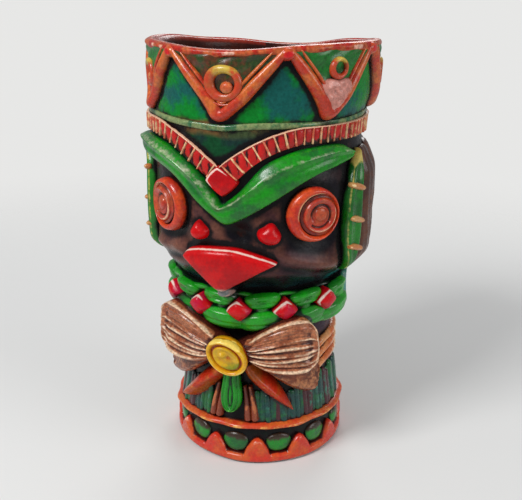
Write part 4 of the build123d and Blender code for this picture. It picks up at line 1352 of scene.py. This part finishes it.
panel_glaze = glazed(
    "panel_glaze", (0.02, 0.048, 0.008), (0.11, 0.03, 0.009), (0.01, 0.014, 0.006), (0.26, 0.24, 0.07),
    tint=(0.008, 0.15, 0.016), patch=230.0, speckle=1.8, stain_depth=1.6, worn_height=0.9,
)
sheets = []
for turn, half in panels:
    sides_of_panel = [[(turn, crown_low + 3.4), (turn + side * half, lip_low + 1.8)] for side in (-1, 1)]
    sheets.append(between(*sides_of_panel, panel_face, along=50, sides=30, tint=float(turn != 0)))
fire("crown_panels", sheets, panel_glaze)

# ---- Crown ropes ----
# A thick coil is laid along the two sides of each panel, with a thin second line inside it. Where two coils meet
# they are pinched into a red lump. They are orange-red, rubbed to yellow on the crests, which is also painted
# highlight.
rope_glaze = glazed(
    "rope_glaze", (0.5, 0.034, 0.012), (0.58, 0.13, 0.024), (0.03, 0.01, 0.006), (0.84, 0.46, 0.18),
    tint=(0.62, 0.008, 0.012), stain_depth=1.3, worn_height=1.25, patch=150.0, speckle=1.3,
)


def hung_round(turn, half, low, width, rise, sides):
    """Coil laid in a V round a panel, its point blunt, and thinner towards the mouth."""
    top = lip_low + 2.2
    arm = [(1.0, top), (0.6, low + 0.6 * (top - low)), (0.2, low + 0.17 * (top - low))]
    path = [(turn - share * half, height) for share, height in arm]
    path += [(turn, low)]
    path += [(turn + share * half, height) for share, height in arm[::-1]]
    widths = width * np.array((0.7, 0.95, 1.1, 1.15, 1.1, 0.95, 0.7))
    rises = rise * np.array((0.8, 0.95, 1.0, 1.05, 1.0, 0.95, 0.8))
    return stroke(path, widths, rises, along=110, sides=sides, ends=(0.2, 0.2))


def pinch_red(share, angle):
    """Red towards the middle of a lump."""
    return 1 - share


pinch_profile = [(0, 2.9), (0.5, 2.8), (0.85, 2.0), (1, 0.9)]
ropes = []
for turn, half in panels:
    ropes.append(hung_round(turn, half, crown_low + 2.1, 2.35, 3.1, 20))
    ropes.append(hung_round(turn, 0.79 * half, crown_low + 6.2, 0.8, 2.5, 10))
    pinch_turn, pinch_height = turn + half + 0.9, lip_low + 1.2
    ropes.append(boss(pinch_turn, pinch_height, 3.1, 2.1, pinch_profile, rows=16, spokes=32, tint=pinch_red))
fire("crown_ropes", ropes, rope_glaze)

# ---- Rosettes and beads ----
# A coil laid in a ring in each panel, with a bead in it, orange-red with a painted highlight in yellow on top. The
# front one rests in a thin cradle, and the next one towards +X is small and sits on a rough pink lump.
rosette_height = 154.2


def rosette_highlight(angle, share):
    """Painted highlight: yellow on the upper part of the coil."""
    return limited(np.sin(angle) - 0.25) * 0.95


# Its tint is yellow: a painted highlight on the tops of the coils, and patches all over the cradle.
rosette_glaze = glazed(
    "rosette_glaze", (0.54, 0.05, 0.016), (0.44, 0.085, 0.022), (0.035, 0.008, 0.005), (0.76, 0.34, 0.12),
    tint=(0.6, 0.42, 0.06), stain_depth=1.0, worn_height=1.1, patch=240.0,
)
bead_glaze = glazed(
    "bead_glaze", (0.6, 0.2, 0.06), (0.56, 0.1, 0.03), (0.06, 0.012, 0.008), (0.8, 0.62, 0.48),
    tint=(0.6, 0.24, 0.19), stain_depth=1.0, worn_height=1.0, patch=300.0, speckle=1.4,
)


def crumbled(share, angle):
    """Rough clay: three crossed sine waves that fade at the edge."""
    across, up = share * np.cos(angle), share * np.sin(angle)
    rough = np.sin(9 * across + 3 * up) + np.sin(11 * up - 5 * across + 1) + np.sin(17 * across + 13 * up)
    return 0.22 * rough * (1 - share)


def triangle(angle):
    """Triangle with soft sides and its point down."""
    return 0.86 + 0.15 * np.cos(3 * angle - np.pi / 2)


rosettes, beads = [], []
for turn, _ in panels:
    has_lump = abs(turn - 53.4) < 1
    size = 0.55 if has_lump else 1.0 if turn == 0 else 0.8
    centre = rosette_height + (3.4 if has_lump else -0.5)
    outer, inner = (7.2 * size, 6.6 * size), (3.5 * size, 3.2 * size)
    coiled = hoop(
        turn + 0.3, centre, outer, inner, 2.2, shift=(0.5, 0.2), seat=0.9, sides=16, tint=rosette_highlight,
        floor=-0.5,
    )
    rosettes.append(coiled)
    if has_lump:
        lump_profile = [(0, 3.2), (0.5, 3.1), (0.85, 2.5), (1, 1.4)]
        bead = boss(
            turn + 0.5, crown_low + 8.3, 7.9, 7.2, lump_profile, triangle, rows=30, tint=1.0,
            relief=crumbled, floor=-0.5,
        )
    else:
        bead_profile = [(0, 3.3), (0.5, 3.1), (0.85, 2.3), (1, 1.2)]
        bead = boss(
            turn + 2.2, centre - 1.3, 2.6 * size, 2.3 * size, bead_profile, spokes=24, rows=12, floor=-0.5
        )
    beads.append(bead)
cradle_path = [(-10.5, 151.8), (-5.5, 147.9), (0.5, 146.5), (6.5, 147.9), (11.5, 151.8)]
rosettes.append(stroke(cradle_path, 0.85, 2.6, along=50, sides=10, ends=(1.0, 1.0), tint=0.3, floor=-0.5))
fire("crown_rosettes", rosettes, rosette_glaze)
fire("rosette_beads", beads, bead_glaze, "rosette_glaze")

# ---- Lip coil ----
# A coil pressed round the outside of the mouth, uneven at its lower edge, in orange-red glaze worn to pink.
lip_glaze = glazed(
    "rim_glaze", (0.42, 0.02, 0.01), (0.48, 0.105, 0.032), (0.1, 0.012, 0.008), (0.62, 0.22, 0.12),
    tint=(0.8, 0.46, 0.34), stain_depth=2.2, worn_height=1.5, patch=230.0, speckle=1.8, coat=0.1,
    shine=0.22,
)
# The lower edge wanders by up to half a millimetre.
lip_edge = lip_low + 0.9 + 0.3 * wave(9, coil_turns) + 0.2 * wave(23, coil_turns)


def lip_spots(turn, share):
    """Cream spots along the coil where three waves round the mouth add up, more on its outer face."""
    waves = wave(7, turn, 20) + wave(17, turn, 50) + wave(29, turn)
    return np.clip(0.9 * (waves - 1.0), 0, 0.55) * limited(1.5 - 1.6 * np.abs(share))


lip_out = reach_of("lip_coil")[2] - wall(lip_high - 1) - 0.3
lip = coil(lip_edge, lip_high + 0.05, lip_out, lumps=0.2, sides=16, tint=lip_spots)
fire("lip_coil", [lip], lip_glaze)

# ---- Dark stain and painted shade ----
# Thin dark glaze is washed over the whole mug and wiped off: it stays in the recesses, where it is also painted
# shade. Each piece gets a depth attribute, which is how far the clay round a point stands out beyond it on
# average.
bin_turn, bin_height = 1.0, 0.75
turn_bins, height_bins = 360, int(mug_height / bin_height) + 6


def unrolled(piece):
    """Turn bin, height bin and how far out from the wall, for each vertex of a piece."""
    turn, height, radius = upright(piece)
    height_spot = np.clip(height / bin_height, 0, height_bins - 1.01)
    return (turn + 180) / bin_turn, height_spot, radius - wall(height)


bare = -5.0
relief = np.full((turn_bins, height_bins), bare)
for piece in pieces:
    turn_spot, height_spot, out = unrolled(piece)
    np.maximum.at(relief, (turn_spot.astype(int) % turn_bins, height_spot.astype(int)), out)


def blurred(grid, reach):
    """Grid averaged under a bell curve, round the mug and along it, by its Fourier transform."""
    sizes = [np.fft.fftfreq(count) for count in grid.shape]
    weights = np.exp(-2 * (np.pi * reach) ** 2 * (sizes[0][:, None] ** 2 + sizes[1][None, :] ** 2))
    return np.fft.ifft2(np.fft.fft2(grid) * weights).real


known = (relief > bare + 1.5).astype(float)
averaged = blurred(relief * known, 2.0) / np.maximum(blurred(known, 2.0), 0.02)
for piece in pieces:
    turn_spot, height_spot, out = unrolled(piece)
    left = np.floor(turn_spot - 0.5).astype(int)
    low = np.clip(np.floor(height_spot - 0.5).astype(int), 0, height_bins - 2)
    right_share, high_share = turn_spot - 0.5 - left, limited(height_spot - 0.5 - low)
    west, east = averaged[left % turn_bins], averaged[(left + 1) % turn_bins]
    along = west * (1 - right_share[:, None]) + east * right_share[:, None]
    each = np.arange(len(out))
    level = along[each, low] * (1 - high_share) + along[each, low + 1] * high_share
    height_here = height_spot * bin_height - mouth_wave(turn_spot * bin_turn - 180, mug_height)
    free_of_stain_and_shade = (out < -3) | (height_here > mug_height - 2.2)
    depth_here = np.where(free_of_stain_and_shade, 0, np.clip(level - out, -3, 4))
    piece.data.attributes.new("depth", "FLOAT", "POINT").data.foreach_set("value", depth_here)

# ---- Stage ----
# A pale floor that keeps the mug's shadow, soft lamps, and the camera above the rim in front and to the right.
floor_mesh = bpy.data.meshes.new("floor")
half_floor = 3.0
corners = [(half_floor * x, half_floor * y, 0) for x, y in ((-1, -1), (1, -1), (1, 1), (-1, 1))]
floor_mesh.from_pydata(corners, [], [(0, 1, 2, 3)])
floor_piece = bpy.data.objects.new("floor", floor_mesh)
bpy.context.scene.collection.objects.link(floor_piece)
floor_paint = bpy.data.materials.new("floor_paint")
floor_paint.use_nodes = True
paint_tree = floor_paint.node_tree
floor_shader = paint_tree.nodes["Principled BSDF"]
floor_shader.inputs["Base Color"].default_value = (0.72, 0.72, 0.71, 1)
floor_shader.inputs["Roughness"].default_value = 0.9
floor_shader.inputs["Specular IOR Level"].default_value = 0.1
on_floor = wire(paint_tree, "ShaderNodeTexCoord").outputs["Object"]
from_middle = wire(paint_tree, "ShaderNodeVectorMath", {0: on_floor}, operation="LENGTH").outputs["Value"]
nothing = wire(paint_tree, "ShaderNodeBsdfTransparent").outputs[0]
far_share = stepped(paint_tree, from_middle, 0.16, 0.5)
faded = wire(paint_tree, "ShaderNodeMixShader", {0: far_share, 1: floor_shader.outputs[0], 2: nothing})
paint_tree.links.new(faded.outputs[0], paint_tree.nodes["Material Output"].inputs["Surface"])
floor_mesh.materials.append(floor_paint)

world = bpy.data.worlds.new("studio")
bpy.context.scene.world = world
world.use_nodes = True
sky = world.node_tree
camera_ray = wire(sky, "ShaderNodeLightPath").outputs["Is Camera Ray"]
light = wire(sky, "ShaderNodeBackground", {"Color": (0.95, 0.97, 1.0, 1), "Strength": 0.32})
backdrop = wire(sky, "ShaderNodeBackground", {"Color": (0.8, 0.8, 0.79, 1), "Strength": 1.0})
shown = wire(sky, "ShaderNodeMixShader", {0: camera_ray, 1: light.outputs[0], 2: backdrop.outputs[0]})
sky.links.new(shown.outputs[0], sky.nodes["World Output"].inputs["Surface"])


def lamp(name, turn, distance, height, power, size):
    """Square lamp at a turn round the mug, aimed at the middle of its height. Distance, height and size are
    metres, and power is watts."""
    data = bpy.data.lights.new(name, "AREA")
    data.energy = power
    data.size = size
    made = bpy.data.objects.new(name, data)
    angle = np.radians(turn)
    made.location = (distance * np.sin(angle), -distance * np.cos(angle), height)
    aim = Vector((0, 0, mug_height * mm / 2)) - made.location
    made.rotation_euler = aim.to_track_quat("-Z", "Y").to_euler()
    bpy.context.scene.collection.objects.link(made)


lamp("key", -30, 0.58, 0.62, 4.6, 0.26)
lamp("fill", 80, 0.7, 0.34, 1.8, 0.4)
lamp("back", 190, 0.7, 0.55, 2.4, 0.4)

view_turn = np.radians(18.4)
view_distance, view_height, view_shift = 0.29974, 0.18761, -0.00016
view_down, view_roll = np.radians(19.757), np.radians(0.656)
camera_data = bpy.data.cameras.new("camera")
camera_data.sensor_width = 36.0
camera_data.lens = 52.68
camera = bpy.data.objects.new("camera", camera_data)
turned = Matrix.Rotation(view_turn, 4, "Z")
aimed = turned @ Matrix.Rotation(np.pi / 2 - view_down, 4, "X") @ Matrix.Rotation(view_roll, 4, "Z")
camera.matrix_world = Matrix.Translation(turned @ Vector((view_shift, -view_distance, view_height))) @ aimed
bpy.context.scene.collection.objects.link(camera)
bpy.context.scene.camera = camera
bpy.context.scene.view_settings.view_transform = "Standard"

bpy.context.view_layer.update()
